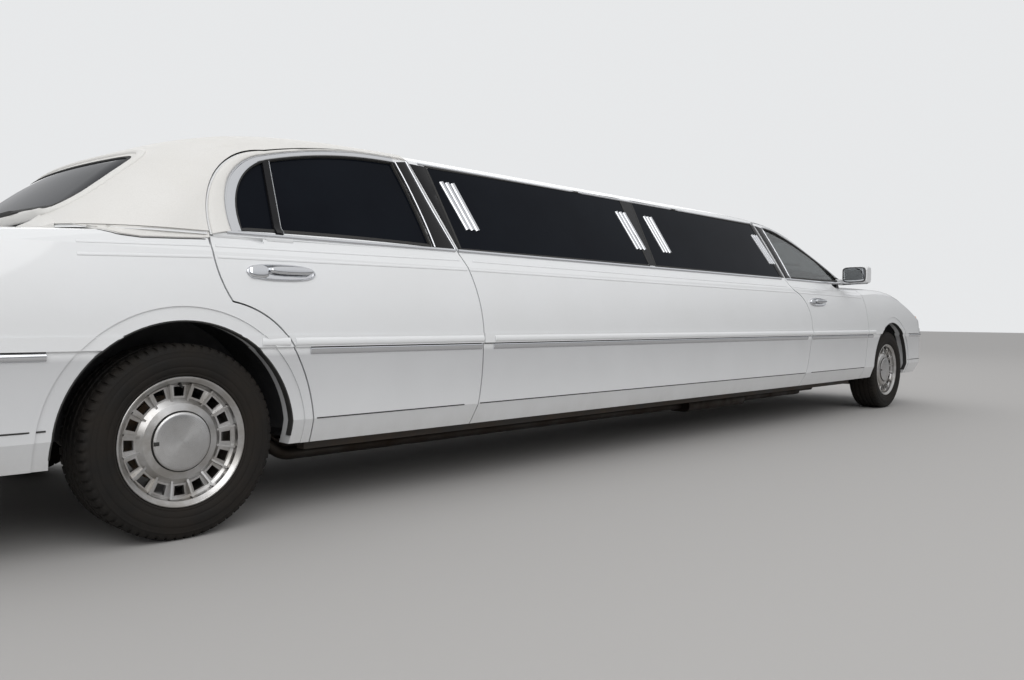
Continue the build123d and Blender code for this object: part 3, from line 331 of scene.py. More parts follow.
grain_group.links.new(math_node(grain_group, "SUBTRACT", 1.0, crown), grain_out.inputs["Valley"])
print("group", grain_group.name, "nodes", len(grain_group.nodes))

# %% Fine scratches and polishing marks
scratch_group, scratch_in, scratch_out = start_group(
    "fine_scratches",
    (
        ("Position", "NodeSocketVector", None),
        ("Stretch", "NodeSocketVector", (1.0, 1.0, 1.0)),
        ("Scale", "NodeSocketFloat", 60.0),
    ),
    (("Height", "NodeSocketFloat"), ("Mask", "NodeSocketFloat")),
)
pull = scratch_group.nodes.new("ShaderNodeVectorMath")
pull.operation = "MULTIPLY"
scratch_group.links.new(scratch_in.outputs["Position"], pull.inputs[0])
scratch_group.links.new(scratch_in.outputs["Stretch"], pull.inputs[1])
lines = noise_node(scratch_group, pull.outputs["Vector"], scratch_in.outputs["Scale"], 8.0, 0.75)
scratch_group.links.new(lines, scratch_out.inputs["Height"])
scratch_group.links.new(spread(scratch_group, lines, 0.52, 0.70), scratch_out.inputs["Mask"])
print("group", scratch_group.name, "nodes", len(scratch_group.nodes))

# %% [markdown]
# ## Finishes
#
# Every finish is a Principled shader with the numbers of the real material: clear lacquer is a
# coat over the paint, chrome is a metal with almost no roughness, rubber is dark and dull. The
# groups above then vary colour, roughness and relief. Numbers that are the same all over a
# surface stay on the shader's own sockets.

# %% A helper that starts a finish
finishes = {}


def start_finish(name, colour, rough, metal=0.0, **settings):
    """A material with a Principled shader, and a Texture Coordinate node for its groups."""
    material = bpy.data.materials.new(name)
    material.use_nodes = True
    tree = material.node_tree
    shader = tree.nodes["Principled BSDF"]
    shader.inputs["Base Color"].default_value = (*colour, 1.0)
    shader.inputs["Roughness"].default_value = rough
    shader.inputs["Metallic"].default_value = metal
    for label, value in settings.items():
        shader.inputs[label.replace("_", " ")].default_value = value
    material.diffuse_color = (*colour, 1.0)
    place = tree.nodes.new("ShaderNodeTexCoord")
    finishes[name] = material
    print("finish", len(finishes), name)
    return tree, shader, place.outputs["Object"]


def put_group(tree, group, position, **values):
    """Place a node group in a material, with its position linked and its values set."""
    node = tree.nodes.new("ShaderNodeGroup")
    node.node_tree = group
    tree.links.new(position, node.inputs["Position"])
    for label, value in values.items():
        feed(tree, node.inputs[label.replace("_", " ")], value)
    return node


def put_drift(tree, shader, position, tone_a, tone_b, **values):
    """Let the base colour drift between two tones. Returns the mask that it follows."""
    tone = put_group(tree, tone_group, position, Colour_A=(*tone_a, 1), Colour_B=(*tone_b, 1), **values)
    tree.links.new(tone.outputs["Colour"], shader.inputs["Base Color"])
    return tone.outputs["Mask"]


def put_bump(tree, shader, height, distance, strength=1.0):
    """Feed a height to the shader's normal. The distance is in metres."""
    bump = tree.nodes.new("ShaderNodeBump")
    bump.inputs["Distance"].default_value = distance
    bump.inputs["Strength"].default_value = strength
    tree.links.new(height, bump.inputs["Height"])
    tree.links.new(bump.outputs["Normal"], shader.inputs["Normal"])


def put_rough(tree, shader, mask, low, high):
    """Let a mask move the roughness between two values."""
    tree.links.new(spread(tree, mask, 0.0, 1.0, low, high), shader.inputs["Roughness"])


# %% [markdown]
# White paint is bright but not pure white, with a clear coat. Under the coat the colour drifts very
# slightly, and below the side moulding it is mixed towards grey as painted shade for the lower side.
# The sill and the bumpers carry a thin veil of road dust, and the lacquer has the faint waviness
# called orange peel.

# %% White paint
tree, shader, position = start_finish(
    "white_paint", (0.79, 0.80, 0.81), 0.32, Coat_Weight=1.0, Coat_Roughness=0.045, Coat_IOR=1.5)
tone = put_group(
    tree, tone_group, position, Colour_A=(0.79, 0.80, 0.81, 1), Colour_B=(0.77, 0.78, 0.785, 1), Scale=2.2)
height = tree.nodes.new("ShaderNodeSeparateXYZ")
tree.links.new(position, height.inputs["Vector"])
# below the side moulding the colour is mixed towards grey: painted shade for the lower side, strongest just
# under the moulding, weaker towards the sill and a little patchy
under = spread(tree, height.outputs["Z"], 0.612, 0.632, 1.0, 0.0)
fading = spread(tree, height.outputs["Z"], 0.34, 0.60, 0.45, 1.0)
patchy = spread(tree, noise_node(tree, position, 3.0, 3.0, 0.5), 0.3, 0.7, 0.85, 1.0)
film_and_shade_mask = math_node(tree, "MULTIPLY", under, math_node(tree, "MULTIPLY", fading, patchy))
painted_low_shade = mix_node(tree, film_and_shade_mask, tone.outputs["Colour"], (0.520, 0.525, 0.535, 1.0))
dust = put_group(tree, dust_group, position, Clean_Colour=painted_low_shade,
                 Dust_Colour=(0.30, 0.27, 0.22, 1), Low=0.27, High=0.42, Amount=0.35)
tree.links.new(dust.outputs["Colour"], shader.inputs["Base Color"])
put_rough(tree, shader, dust.outputs["Mask"], 0.30, 0.75)
peel = noise_node(tree, position, 110.0, 2.0, 0.4)
put_bump(tree, shader, peel, 0.00010, 0.5)

# %% [markdown]
# The rear half of the roof is covered in padded vinyl. It is off-white, duller than the paint and
# pebbled like leather, and it yellows a little in patches.

# %% Vinyl roof covering
tree, shader, position = start_finish("vinyl", (0.80, 0.79, 0.765), 0.52)
shader.inputs["Specular IOR Level"].default_value = 0.4
tone = put_group(tree, tone_group, position, Colour_A=(0.80, 0.79, 0.768, 1), Colour_B=(0.765, 0.752, 0.722, 1),
                 Scale=4.0, Contrast=0.2)
grain = put_group(tree, grain_group, position, Pebbles_Per_Metre=260.0, Crease=0.3)
valley_mask = spread(tree, grain.outputs["Valley"], 0.0, 1.0, 0.0, 0.22)
shade = mix_node(tree, valley_mask, tone.outputs["Colour"], (0.50, 0.485, 0.45, 1.0))
tree.links.new(shade, shader.inputs["Base Color"])
put_bump(tree, shader, grain.outputs["Height"], 0.0006, 0.6)

# %% Bright trim
tree, shader, position = start_finish("chrome", (0.66, 0.67, 0.69), 0.07, 1.0)
marks = put_group(tree, scratch_group, position, Stretch=(0.4, 1.0, 2.0), Scale=90.0)
dust = put_group(tree, dust_group, position, Clean_Colour=(0.66, 0.67, 0.69, 1),
                 Dust_Colour=(0.30, 0.27, 0.23, 1), Low=0.2, High=0.7, Amount=0.35)
tree.links.new(dust.outputs["Colour"], shader.inputs["Base Color"])
put_rough(tree, shader, marks.outputs["Mask"], 0.06, 0.20)
put_bump(tree, shader, marks.outputs["Height"], 0.00004, 0.4)

# %% [markdown]
# The wheels are cast aluminium, machined and lacquered. Fine scratches vary their roughness and
# relief, and brake dust browns them in patches.

# %% Wheel alloy
tree, shader, position = start_finish(
    "alloy", (0.50, 0.50, 0.50), 0.34, 1.0, Coat_Weight=0.25, Coat_Roughness=0.2)
marks = put_group(tree, scratch_group, position, Stretch=(1.0, 6.0, 1.0), Scale=140.0)
put_drift(tree, shader, position, (0.53, 0.525, 0.52), (0.40, 0.385, 0.365), Scale=14.0, Contrast=0.12)
put_rough(tree, shader, marks.outputs["Mask"], 0.30, 0.52)
put_bump(tree, shader, marks.outputs["Height"], 0.00006, 0.5)

# %% Tyre rubber
tree, shader, position = start_finish("tyre", (0.030, 0.028, 0.026), 0.78)
tone_mask = put_drift(
    tree, shader, position, (0.009, 0.0085, 0.008), (0.020, 0.0165, 0.0135), Scale=8.0, Contrast=0.22)
grit = noise_node(tree, position, 700.0, 3.0, 0.7)
put_rough(tree, shader, tone_mask, 0.66, 0.90)
put_bump(tree, shader, grit, 0.0002, 0.6)

# %% [markdown]
# The cabin glass is almost black from outside. It is a dark closed surface here, with a weak
# mirror on top that a film and smears make a little uneven. The windscreen and the front door
# glass are clear sheets that let the light through.

# %% Tinted and clear glass
tree, shader, position = start_finish("dark_glass", (0.010, 0.012, 0.015), 0.03)
shader.inputs["IOR"].default_value = 1.35
shader.inputs["Specular IOR Level"].default_value = 0.07
put_drift(tree, shader, position, (0.004, 0.005, 0.008), (0.007, 0.009, 0.013), Scale=1.4, Contrast=0.2)
smear = put_group(tree, tone_group, position, Scale=6.0, Contrast=0.2)
put_rough(tree, shader, smear.outputs["Mask"], 0.02, 0.06)
wave = noise_node(tree, position, 5.0, 1.0, 0.3)
put_bump(tree, shader, wave, 0.0012, 0.35)

tree, shader, position = start_finish("clear_glass", (0.36, 0.40, 0.40), 0.02)
shader.inputs["IOR"].default_value = 1.48
shader.inputs["Transmission Weight"].default_value = 1.0
put_drift(tree, shader, position, (0.34, 0.38, 0.38), (0.38, 0.42, 0.42), Scale=2.0)
smear = put_group(tree, tone_group, position, Scale=7.0, Contrast=0.2)
put_rough(tree, shader, smear.outputs["Mask"], 0.01, 0.05)

# %% Lamp lenses
tree, shader, position = start_finish(
    "lamp_clear", (0.82, 0.84, 0.85), 0.05, Coat_Weight=0.5, Coat_Roughness=0.03)
shader.inputs["IOR"].default_value = 1.45
shader.inputs["Transmission Weight"].default_value = 0.85
haze_mask = put_drift(tree, shader, position, (0.84, 0.86, 0.87), (0.76, 0.77, 0.74), Scale=12.0)
put_rough(tree, shader, haze_mask, 0.03, 0.12)

for name, colour, rough, tone_a, tone_b in (
    ("lamp_red", (0.42, 0.012, 0.012), 0.10, (0.44, 0.014, 0.012), (0.30, 0.008, 0.008)),
    ("lamp_amber", (0.75, 0.22, 0.02), 0.12, (0.78, 0.24, 0.02), (0.60, 0.16, 0.015)),
):
    tree, shader, position = start_finish(name, colour, rough, Coat_Weight=1.0, Coat_Roughness=0.04)
    put_drift(tree, shader, position, tone_a, tone_b, Scale=9.0)
    cells = tree.nodes.new("ShaderNodeTexVoronoi")
    cells.inputs["Scale"].default_value = 240.0
    tree.links.new(position, cells.inputs["Vector"])
    put_bump(tree, shader, cells.outputs["Distance"], 0.0012, 0.5)

# %% [markdown]
# The last finishes share one recipe, a colour that drifts between two tones, a roughness that
# follows the drift and a fine relief, so one short table describes them all: black frame paint,
# cast iron, heat-dulled exhaust steel darkened to near black as painted shade under the car,
# leather, moulded plastic, rubber seals, gloss black pillars and carpet.

# %% Finishes from a table
def plain_finish(name, tone_a, tone_b, scale, rough, metal, relief, relief_scale):
    """A finish that drifts between two tones, with matching roughness and relief."""
    tree, shader, position = start_finish(name, tone_a, rough[0], metal)
    tone_mask = put_drift(tree, shader, position, tone_a, tone_b, Scale=scale, Contrast=0.2)
    put_rough(tree, shader, tone_mask, *rough)
    if name in ("seat_leather", "trim_plastic"):
        grain = put_group(tree, grain_group, position, Pebbles_Per_Metre=relief_scale)
        put_bump(tree, shader, grain.outputs["Height"], relief, 0.6)
    else:
        put_bump(tree, shader, noise_node(tree, position, relief_scale, 5.0, 0.65), relief, 0.7)


FINISH_TABLE = (
    ("frame_steel", (0.028, 0.027, 0.026), (0.075, 0.055, 0.040), 7.0, (0.50, 0.85), 0.0, 0.0006, 120.0),
    ("cast_iron", (0.13, 0.13, 0.13), (0.20, 0.15, 0.11), 10.0, (0.55, 0.85), 0.6, 0.0008, 160.0),
    # the exhaust is heat-dulled steel, darkened further to near black as painted shade under the car
    ("exhaust_steel", (0.050, 0.046, 0.042), (0.040, 0.028, 0.020), 6.0, (0.35, 0.70), 0.9, 0.0004, 90.0),
    ("seat_leather", (0.055, 0.056, 0.062), (0.036, 0.036, 0.040), 9.0, (0.38, 0.55), 0.0, 0.0005, 420.0),
    ("trim_plastic", (0.040, 0.040, 0.043), (0.030, 0.030, 0.032), 12.0, (0.45, 0.62), 0.0, 0.0003, 900.0),
    ("rubber_seal", (0.016, 0.016, 0.016), (0.030, 0.029, 0.027), 20.0, (0.60, 0.80), 0.0, 0.0003, 500.0),
    ("pillar_black", (0.006, 0.006, 0.007), (0.009, 0.009, 0.010), 5.0, (0.16, 0.26), 0.0, 0.0001, 60.0),
    ("carpet", (0.045, 0.045, 0.050), (0.030, 0.030, 0.034), 30.0, (0.90, 0.98), 0.0, 0.0020, 900.0),
    ("brake_iron", (0.22, 0.21, 0.20), (0.26, 0.17, 0.10), 18.0, (0.35, 0.65), 0.8, 0.0003, 200.0),
)
for row in FINISH_TABLE:
    plain_finish(*row)
for name in ("pillar_black", "tyre"):
    finishes[name].node_tree.nodes["Principled BSDF"].inputs["Specular IOR Level"].default_value = 0.22

# %% Give the CAD pieces their finishes
for part in frame["record"]["subparts"]:
    node = nodes[part["node"]]
    material = finishes[part["material_slot"]]
    for slot in node.material_slots:
        slot.material = material
    if not node.material_slots:
        print("no slot on", part["node"])

# %% [markdown]
# ## Helpers that make trim
#
# Most trim on a car is a thin strip that follows the sheet metal. It could be modelled by hand over
# the body, vertex by vertex. Here a strip is swept instead: a path is drawn in the side view, each
# of its points is thrown sideways onto the skin of the CAD body, and a small section travels along.
# The strip then lies on the metal wherever the path goes, and moves with that panel.

# %% Search trees over CAD nodes
trees = {}


def skin_of(*names):
    """A tree over the surface of one or more CAD nodes."""
    if names not in trees:
        vertices, faces = [], []
        for name in names:
            mesh = nodes[name].data
            base = len(vertices)
            vertices.extend(vertex.co.copy() for vertex in mesh.vertices)
            faces.extend([base + index for index in polygon.vertices] for polygon in mesh.polygons)
        trees[names] = BVHTree.FromPolygons(vertices, faces)
    return trees[names]


OUTSIDE = 1.4  # beside the whole car, mirrors too
UNDER_MIRROR = 0.95  # beside the door, but inside its mirror


def skin_point(tree, x, z, side, start=OUTSIDE):
    """Where a sideways ray meets the skin from outside: the place and its outward normal."""
    place, normal, _, _ = tree.ray_cast(Vector((x, side * start, z)), Vector((0.0, -side, 0.0)), OUTSIDE)
    if place is None:
        return None
    if normal.y * side < 0.0:
        normal = -normal
    return place, normal


def drop_point(tree, x, y, top=2.0):
    """Where a ray straight down meets a surface."""
    return tree.ray_cast(Vector((x, y, top)), Vector((0.0, 0.0, -1.0)), 2.0)[0]


# %% Paths made of straight runs and arcs
def arc_through(a, b, c, step=0.03):
    """Points along the circle through three points, in the side view."""
    ax, az = a
    bx, bz = b
    cx, cz = c
    turn = 2.0 * (ax * (bz - cz) + bx * (cz - az) + cx * (az - bz))
    if abs(turn) < 1e-7:
        return run_between(a, c, step)
    ux = ((ax**2 + az**2) * (bz - cz) + (bx**2 + bz**2) * (cz - az) + (cx**2 + cz**2) * (az - bz)) / turn
    uz = ((ax**2 + az**2) * (cx - bx) + (bx**2 + bz**2) * (ax - cx) + (cx**2 + cz**2) * (bx - ax)) / turn
    radius = math.hypot(ax - ux, az - uz)
    first = math.atan2(az - uz, ax - ux)
    middle = math.atan2(bz - uz, bx - ux)
    last = math.atan2(cz - uz, cx - ux)
    sweep = (last - first) % (2 * math.pi)
    if (middle - first) % (2 * math.pi) > sweep:
        sweep -= 2 * math.pi
    count = max(2, int(abs(sweep) * radius / step) + 1)
    return [
        (ux + radius * math.cos(first + sweep * i / count), uz + radius * math.sin(first + sweep * i / count))
        for i in range(count + 1)
    ]


def run_between(a, b, step=0.03):
    """Points along a straight run."""
    count = max(1, int(math.dist(a, b) / step))
    return [(a[0] + (b[0] - a[0]) * i / count, a[1] + (b[1] - a[1]) * i / count) for i in range(count + 1)]


def spaced(low, high, step):
    """Evenly spaced values with both ends."""
    count = max(1, round((high - low) / step))
    return [low + (high - low) * i / count for i in range(count + 1)]


def turns(count):
    """Evenly spaced angles round a full turn."""
    return [2 * math.pi * i / count for i in range(count)]


def joined(*runs):
    """One path from several runs, without the doubled points."""
    path = []
    for run in runs:
        for point in run:
            if not path or math.dist(path[-1], point) > 1e-5:
                path.append(point)
    return path


def moved_out(path, distance, closed=True):
    """The path moved to its outer side, seen from the side, by a distance."""
    area = sum(a[0] * b[1] - b[0] * a[1] for a, b in zip(path, path[1:] + path[:1]))
    turn = 1.0 if area > 0 else -1.0
    result = []
    for index, point in enumerate(path):
        before = path[index - 1] if closed or index else point
        after = path[(index + 1) % len(path)] if closed or index + 1 < len(path) else point
        dx, dz = after[0] - before[0], after[1] - before[1]
        size = math.hypot(dx, dz) or 1.0
        result.append((point[0] + turn * dz / size * distance, point[1] - turn * dx / size * distance))
    return result


def mesh_object(name, vertices, faces, finish, body, smooth_angle=40.0):
    """A mesh piece with a finish, smooth up to an angle, riding on a body."""
    mesh = bpy.data.meshes.new(name)
    mesh.from_pydata([tuple(vertex) for vertex in vertices], [], faces)
    mesh.validate()
    shape = bmesh.new()
    shape.from_mesh(mesh)
    bmesh.ops.remove_doubles(shape, verts=shape.verts, dist=1e-6)
    bmesh.ops.recalc_face_normals(shape, faces=shape.faces)
    shape.to_mesh(mesh)
    shape.free()
    for polygon in mesh.polygons:
        polygon.use_smooth = True
    mesh.set_sharp_from_angle(angle=math.radians(smooth_angle))
    mesh.materials.append(finishes[finish])
    piece = bpy.data.objects.new(name, mesh)
    bpy.context.scene.collection.objects.link(piece)
    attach(piece, body)
    return piece


class Shape:
    """Vertices and faces collected from several forms before they become one piece."""

    def __init__(self):
        self.vertices = []
        self.faces = []

    def add(self, vertices, faces):
        """Add vertices and the faces that count them from zero."""
        base = len(self.vertices)
        self.vertices.extend(Vector(vertex) for vertex in vertices)
        self.faces.extend(tuple(base + index for index in face) for face in faces)
        return self

    def sweep(self, rings, closed=False, caps=True):
        """Join rings of equal length into a tube."""
        if len(rings) < 2:
            return self
        count = len(rings[0])
        vertices = [vertex for ring in rings for vertex in ring]
        faces = []
        last = len(rings) if closed else len(rings) - 1
        for i in range(last):
            j = (i + 1) % len(rings)
            for k in range(count):
                m = (k + 1) % count
                faces.append((i * count + k, i * count + m, j * count + m, j * count + k))
        if caps and not closed:
            faces.append(tuple(range(count)))
            faces.append(tuple((len(rings) - 1) * count + k for k in reversed(range(count))))
        return self.add(vertices, faces)

    def turned(self, profile, centre, axis, across, count=48, closed=True):
        """Turn a profile of (along, radius) pairs round an axis."""
        axis = Vector(axis).normalized()
        across = Vector(across).normalized()
        third = axis.cross(across)
        vertices = []
        for angle in turns(count):
            out = across * math.cos(angle) + third * math.sin(angle)
            vertices.extend(Vector(centre) + axis * along + out * radius for along, radius in profile)
        size = len(profile)
        faces = []
        spans = size if closed else size - 1
        for i in range(count):
            j = (i + 1) % count
            for k in range(spans):
                m = (k + 1) % size
                faces.append((i * size + k, i * size + m, j * size + m, j * size + k))
        return self.add(vertices, faces)

    def piece(self, name, finish, body, smooth_angle=40.0):
        """Make one mesh object of everything collected."""
        return mesh_object(name, self.vertices, self.faces, finish, body, smooth_angle)


# %% Strips that lie on the skin
STRIP = ((-0.5, -0.25), (-0.5, 0.45), (-0.32, 0.9), (0.0, 1.0), (0.32, 0.9), (0.5, 0.45), (0.5, -0.25))
FLAT = ((-0.5, -0.5), (-0.5, 0.7), (-0.42, 1.0), (0.42, 1.0), (0.5, 0.7), (0.5, -0.5))


def strip_rings(hits, width, height, profile=STRIP, closed=False, lift=0.0):
    """Rings of a strip through places on a surface. Each place comes with its normal."""
    rings = []
    for index, (place, normal) in enumerate(hits):
        before = hits[index - 1][0] if closed or index else place
        after = hits[(index + 1) % len(hits)][0] if closed or index + 1 < len(hits) else place
        along = (after - before).normalized()
        across = normal.cross(along).normalized()
        outward = across.cross(along).normalized()
        if outward.dot(normal) < 0:
            outward = -outward
        rings.append([place + across * (u * width) + outward * (v * height + lift) for u, v in profile])
    return rings


def skin_rings(path, tree, side, width, height, profile=STRIP, closed=False, lift=0.0, start=OUTSIDE):
    """Rings of a strip along a side-view path. Points that miss the skin are left out."""
    hits = [skin_point(tree, x, z, side, start) for x, z in path]
    return strip_rings([hit for hit in hits if hit], width, height, profile, closed, lift)


print("helpers ready")

# %% [markdown]
# ## The lines of the side
#
# A chrome moulding runs along the whole side at knee height, under a raised rib of white paint. It
# is one line to the eye but several pieces in truth: it ends at every door gap, so that the doors
# can open. Each stretch is swept on its own panel and rides with that panel.

# %% Side mouldings
SIDES = ((1, "left"), (-1, "right"))
REAR_AXLE = -2.9615
FRONT_AXLE = 3.3305


def body_of_panel(panel, side_name):
    """The moving body that a panel belongs to."""
    return f"{panel}_{side_name}" if panel.endswith("door") else "body"


def at_level(z, stretches):
    """Level stretches with their height filled in."""
    return [(panel, (start_x, z), (end_x, z)) for panel, start_x, end_x in stretches]


def panel_strips(name, stretches, width, height, lift, finish, profile=STRIP, step=0.06, smooth_angle=60.0):
    """On both sides, a strip on each panel along its own stretch of a line."""
    for side, side_name in SIDES:
        for panel, start, end in stretches:
            tree = skin_of(f"{panel}_{side_name}")
            rings = skin_rings(run_between(start, end, step), tree, side, width, height, profile, lift=lift)
            body = body_of_panel(panel, side_name)
            Shape().sweep(rings).piece(f"{name}_{panel}_{side_name}", finish, body, smooth_angle)
    print(name, "pieces:", 2 * len(stretches))


MOULDING_Z = 0.6285
# a thin dark strip between the moulding and the rib above it is painted shadow, the shade under the rib
SHADOW_LINE_Z = MOULDING_Z + 0.0150
MOULDING = (
    (-0.5, -0.2), (-0.5, 0.30), (-0.42, 0.55), (-0.18, 0.82), (0.20, 1.0), (0.42, 1.0), (0.5, 0.80),
    (0.5, -0.2),
)
MOULDING_STRETCHES = (
    ("rear_door", -2.500, -1.624), ("centre_side", -1.611, 1.6865), ("front_door", 1.6985, 2.7385),
    ("front_fender", 2.7525, 2.868),
)
shadow_line_stretches = [(panel, start_x + 0.003, end_x - 0.002) for panel, start_x, end_x in MOULDING_STRETCHES]
panel_strips("side_moulding", at_level(MOULDING_Z, MOULDING_STRETCHES), 0.025, 0.010, -0.002, "chrome",
             profile=MOULDING)
panel_strips("moulding_shadow_line", at_level(SHADOW_LINE_Z, shadow_line_stretches), 0.0065, 0.0020, -0.0005, "rubber_seal", FLAT,
             smooth_angle=40.0)

# %% The white rib above the moulding
RIB_Z = 0.6640
RIB_STRETCHES = (
    ("rear_quarter", -2.698, -2.590), ("rear_door", -2.568, -1.620), ("centre_side", -1.611, 1.6865),
    ("front_door", 1.6985, 2.7385), ("front_fender", 2.7525, 2.905),
)
RIB = (
    (-0.5, -0.3), (-0.47, 0.35), (-0.36, 0.78), (-0.12, 1.0), (0.14, 0.94), (0.34, 0.60), (0.50, 0.05),
    (0.5, -0.3),
)
panel_strips("side_rib", at_level(RIB_Z, RIB_STRETCHES), 0.030, 0.0065, -0.0008, "white_paint", RIB)

# %% [markdown]
# The doors and the fixed middle carry a bright strip along the foot of the windows. It is narrow,
# and it stops at the same gaps as the moulding below.

# %% Belt strips
BELT_STRETCHES = (
    ("rear_door", (-2.800, 1.047), (-1.730, 1.049)),
    ("centre_side", (-1.712, 1.049), (1.384, 1.043)),
    ("front_door", (1.402, 1.043), (2.440, 1.040)),
)
panel_strips("belt_strip", BELT_STRETCHES, 0.016, 0.008, -0.001, "chrome")

# %% Two soft ridges under the belt
RIDGE_LINES = (
    (("rear_quarter", (-3.300, 0.982), (-2.872, 0.996)), ("rear_door", (-2.850, 0.9965), (-1.720, 1.008)),
     ("centre_side", (-1.703, 1.008), (1.425, 0.990)), ("front_door", (1.452, 0.990), (2.640, 0.978))),
    (("rear_quarter", (-3.300, 0.942), (-2.868, 0.957)), ("rear_door", (-2.850, 0.9575), (-1.690, 0.966)),
     ("centre_side", (-1.675, 0.966), (1.478, 0.951)), ("front_door", (1.520, 0.951), (2.660, 0.940))),
)
for number, line in enumerate(RIDGE_LINES):
    panel_strips(f"ridge_{number}", line, 0.011, 0.0022, -0.0006, "white_paint", smooth_angle=70.0)

# %% [markdown]
# ## Window surrounds
#
# The glass of each front door sits in a thin bright frame, and every pane of the doors in a rubber
# seal. The outlines are those that the CAD model cuts, drawn again as arcs: the frame is swept just
# outside them and the seal just inside. The wider frame of the rear doors follows further on.

# %% Surrounds of the door windows
REAR_WINDOW = (
    arc_through((-1.853, 1.056), (-1.880, 1.250), (-1.925, 1.432)),
    arc_through((-1.925, 1.432), (-2.290, 1.408), (-2.560, 1.350)),
    arc_through((-2.560, 1.350), (-2.700, 1.250), (-2.742, 1.056)),
    arc_through((-2.742, 1.056), (-2.300, 1.062), (-1.853, 1.056)),
)
FRONT_WINDOW = (
    arc_through((1.480, 1.050), (1.440, 1.245), (1.388, 1.412)),
    arc_through((1.388, 1.412), (1.700, 1.375), (1.990, 1.250)),
    arc_through((1.990, 1.250), (2.180, 1.145), (2.315, 1.056)),
    arc_through((2.315, 1.056), (1.900, 1.049), (1.480, 1.050)),
)
CENTRE_WINDOWS = (
    ((-1.690, 1.058), (-1.738, 1.436), (-0.286, 1.442), (-0.250, 1.058)),
    ((-0.186, 1.058), (-0.176, 1.442), (1.222, 1.424), (1.330, 1.050)),
)
for side, side_name in SIDES:
    for row, runs in (("rear", REAR_WINDOW), ("front", FRONT_WINDOW)):
        door = f"{row}_door_{side_name}"
        loop = joined(*runs)[:-1]
        start = UNDER_MIRROR if row == "front" else OUTSIDE
        if row == "front":
            path = moved_out(loop, 0.007)
            rings = skin_rings(path, skin_of(door), side, 0.014, 0.006, lift=-0.001, closed=True, start=start)
            Shape().sweep(rings, closed=True).piece(f"front_window_surround_{side_name}", "chrome", door, 60.0)
        path = moved_out(loop, -0.004)
        tree = skin_of(door, f"{row}_door_glass_{side_name}")
        rings = skin_rings(path, tree, side, 0.014, 0.010, FLAT, closed=True, lift=0.001, start=start)
        Shape().sweep(rings, closed=True).piece(f"{row}_window_seal_{side_name}", "rubber_seal", door, 50.0)
print("door windows dressed")

# %% Black pillars and glass edges of the centre
for side, side_name in SIDES:
    tree = skin_of(f"centre_side_{side_name}", "centre_glass")
    for index, corners in enumerate(CENTRE_WINDOWS):
        edges = zip(corners, corners[1:] + corners[:1])
        path = moved_out(joined(*[run_between(a, b, 0.04) for a, b in edges])[:-1], 0.001)
        rings = skin_rings(path, tree, side, 0.012, 0.003, FLAT, closed=True)
        Shape().sweep(rings, closed=True).piece(
            f"centre_window_{index}_seal_{side_name}", "rubber_seal", "body", 50.0)
print("centre windows dressed")

# %% [markdown]
# Each end of the two long panes carries three slanting bright bars, side by side. They are flat
# strips with rounded edges, fixed on the glass.

# %% Bars on the long panes
BAR_GROUPS = (
    ((-1.6905, -1.5865, 1.372), (-1.6215, -1.5275, 1.153)),
    ((-0.3825, -0.2765, 1.362), (-0.3175, -0.2145, 1.149)),
    ((-0.1145, -0.0175, 1.359), (-0.0525, 0.0375, 1.147)),
    ((1.1575, 1.2535, 1.347), (1.2485, 1.3365, 1.147)),
)
for side, side_name in SIDES:
    tree = skin_of("centre_glass", f"centre_side_{side_name}")
    bars = Shape()
    for (top_a, top_b, top_z), (foot_a, foot_b, foot_z) in BAR_GROUPS:
        for k in (1 / 6, 0.5, 5 / 6):
            top = (top_a + (top_b - top_a) * k, top_z)
            foot = (foot_a + (foot_b - foot_a) * k, foot_z)
            bars.sweep(skin_rings(run_between(top, foot, 0.03), tree, side, 0.027, 0.009, lift=-0.001))
    bars.piece(f"pane_bars_{side_name}", "chrome", "body", 60.0)
print("bars:", len(BAR_GROUPS) * 6)

# %% [markdown]
# ## Road wheels
#
# A tyre is one section turned round the axle, but a bare turned ring looks like a toy. The side
# wall has a bead that grips the rim, a rib that keeps kerbs off the metal and fine steps where the
# mould halves met. The tread has four long grooves and short cross grooves at its shoulders. The
# long grooves are in the section. The cross grooves come from pressing some of the turned rings in,
# which is lighter than cutting blocks out of a solid.

# %% Measures of the wheels
WHEEL_ROWS = (("front", FRONT_AXLE, 0.805), ("rear", REAR_AXLE, 0.8295))
HUB_HEIGHT = 0.331
SIDEWALL = (
    (0.0700, 0.2040), (0.0870, 0.2040), (0.0885, 0.2195), (0.0925, 0.2215), (0.0985, 0.2225), (0.1015, 0.2255),
    (0.1030, 0.2300), (0.1022, 0.2315), (0.1045, 0.2335), (0.1080, 0.2430), (0.1102, 0.2520), (0.1096, 0.2532),
    (0.1108, 0.2545), (0.1122, 0.2650), (0.1125, 0.2760), (0.1119, 0.2850), (0.1108, 0.2860), (0.1110, 0.2872),
    (0.1098, 0.2960), (0.1080, 0.3030), (0.1084, 0.3044), (0.1068, 0.3056), (0.1050, 0.3120), (0.1022, 0.3180),
    (0.0985, 0.3230), (0.0930, 0.3272), (0.0860, 0.3296), (0.0780, 0.3306),
)
TREAD = (
    (0.0620, 0.3309), (0.0605, 0.3235), (0.0535, 0.3235), (0.0520, 0.3310), (0.0380, 0.3310), (0.0240, 0.3310),
    (0.0225, 0.3230), (0.0135, 0.3230), (0.0120, 0.3310), (0.0040, 0.3310),
)
TREAD_PITCHES = 64
print("tread pitches", TREAD_PITCHES, "points on half a section", len(SIDEWALL) + len(TREAD))


def wheel_place(row_x, track_half, side):
    """The centre of a wheel."""
    return Vector((row_x, side * track_half, HUB_HEIGHT))


# %% Turn the tyres
half_section = SIDEWALL + TREAD
section = half_section + tuple((-along, radius) for along, radius in reversed(half_section))
SHOULDER_GROOVE, PLAIN, CENTRE_GROOVE = range(3)


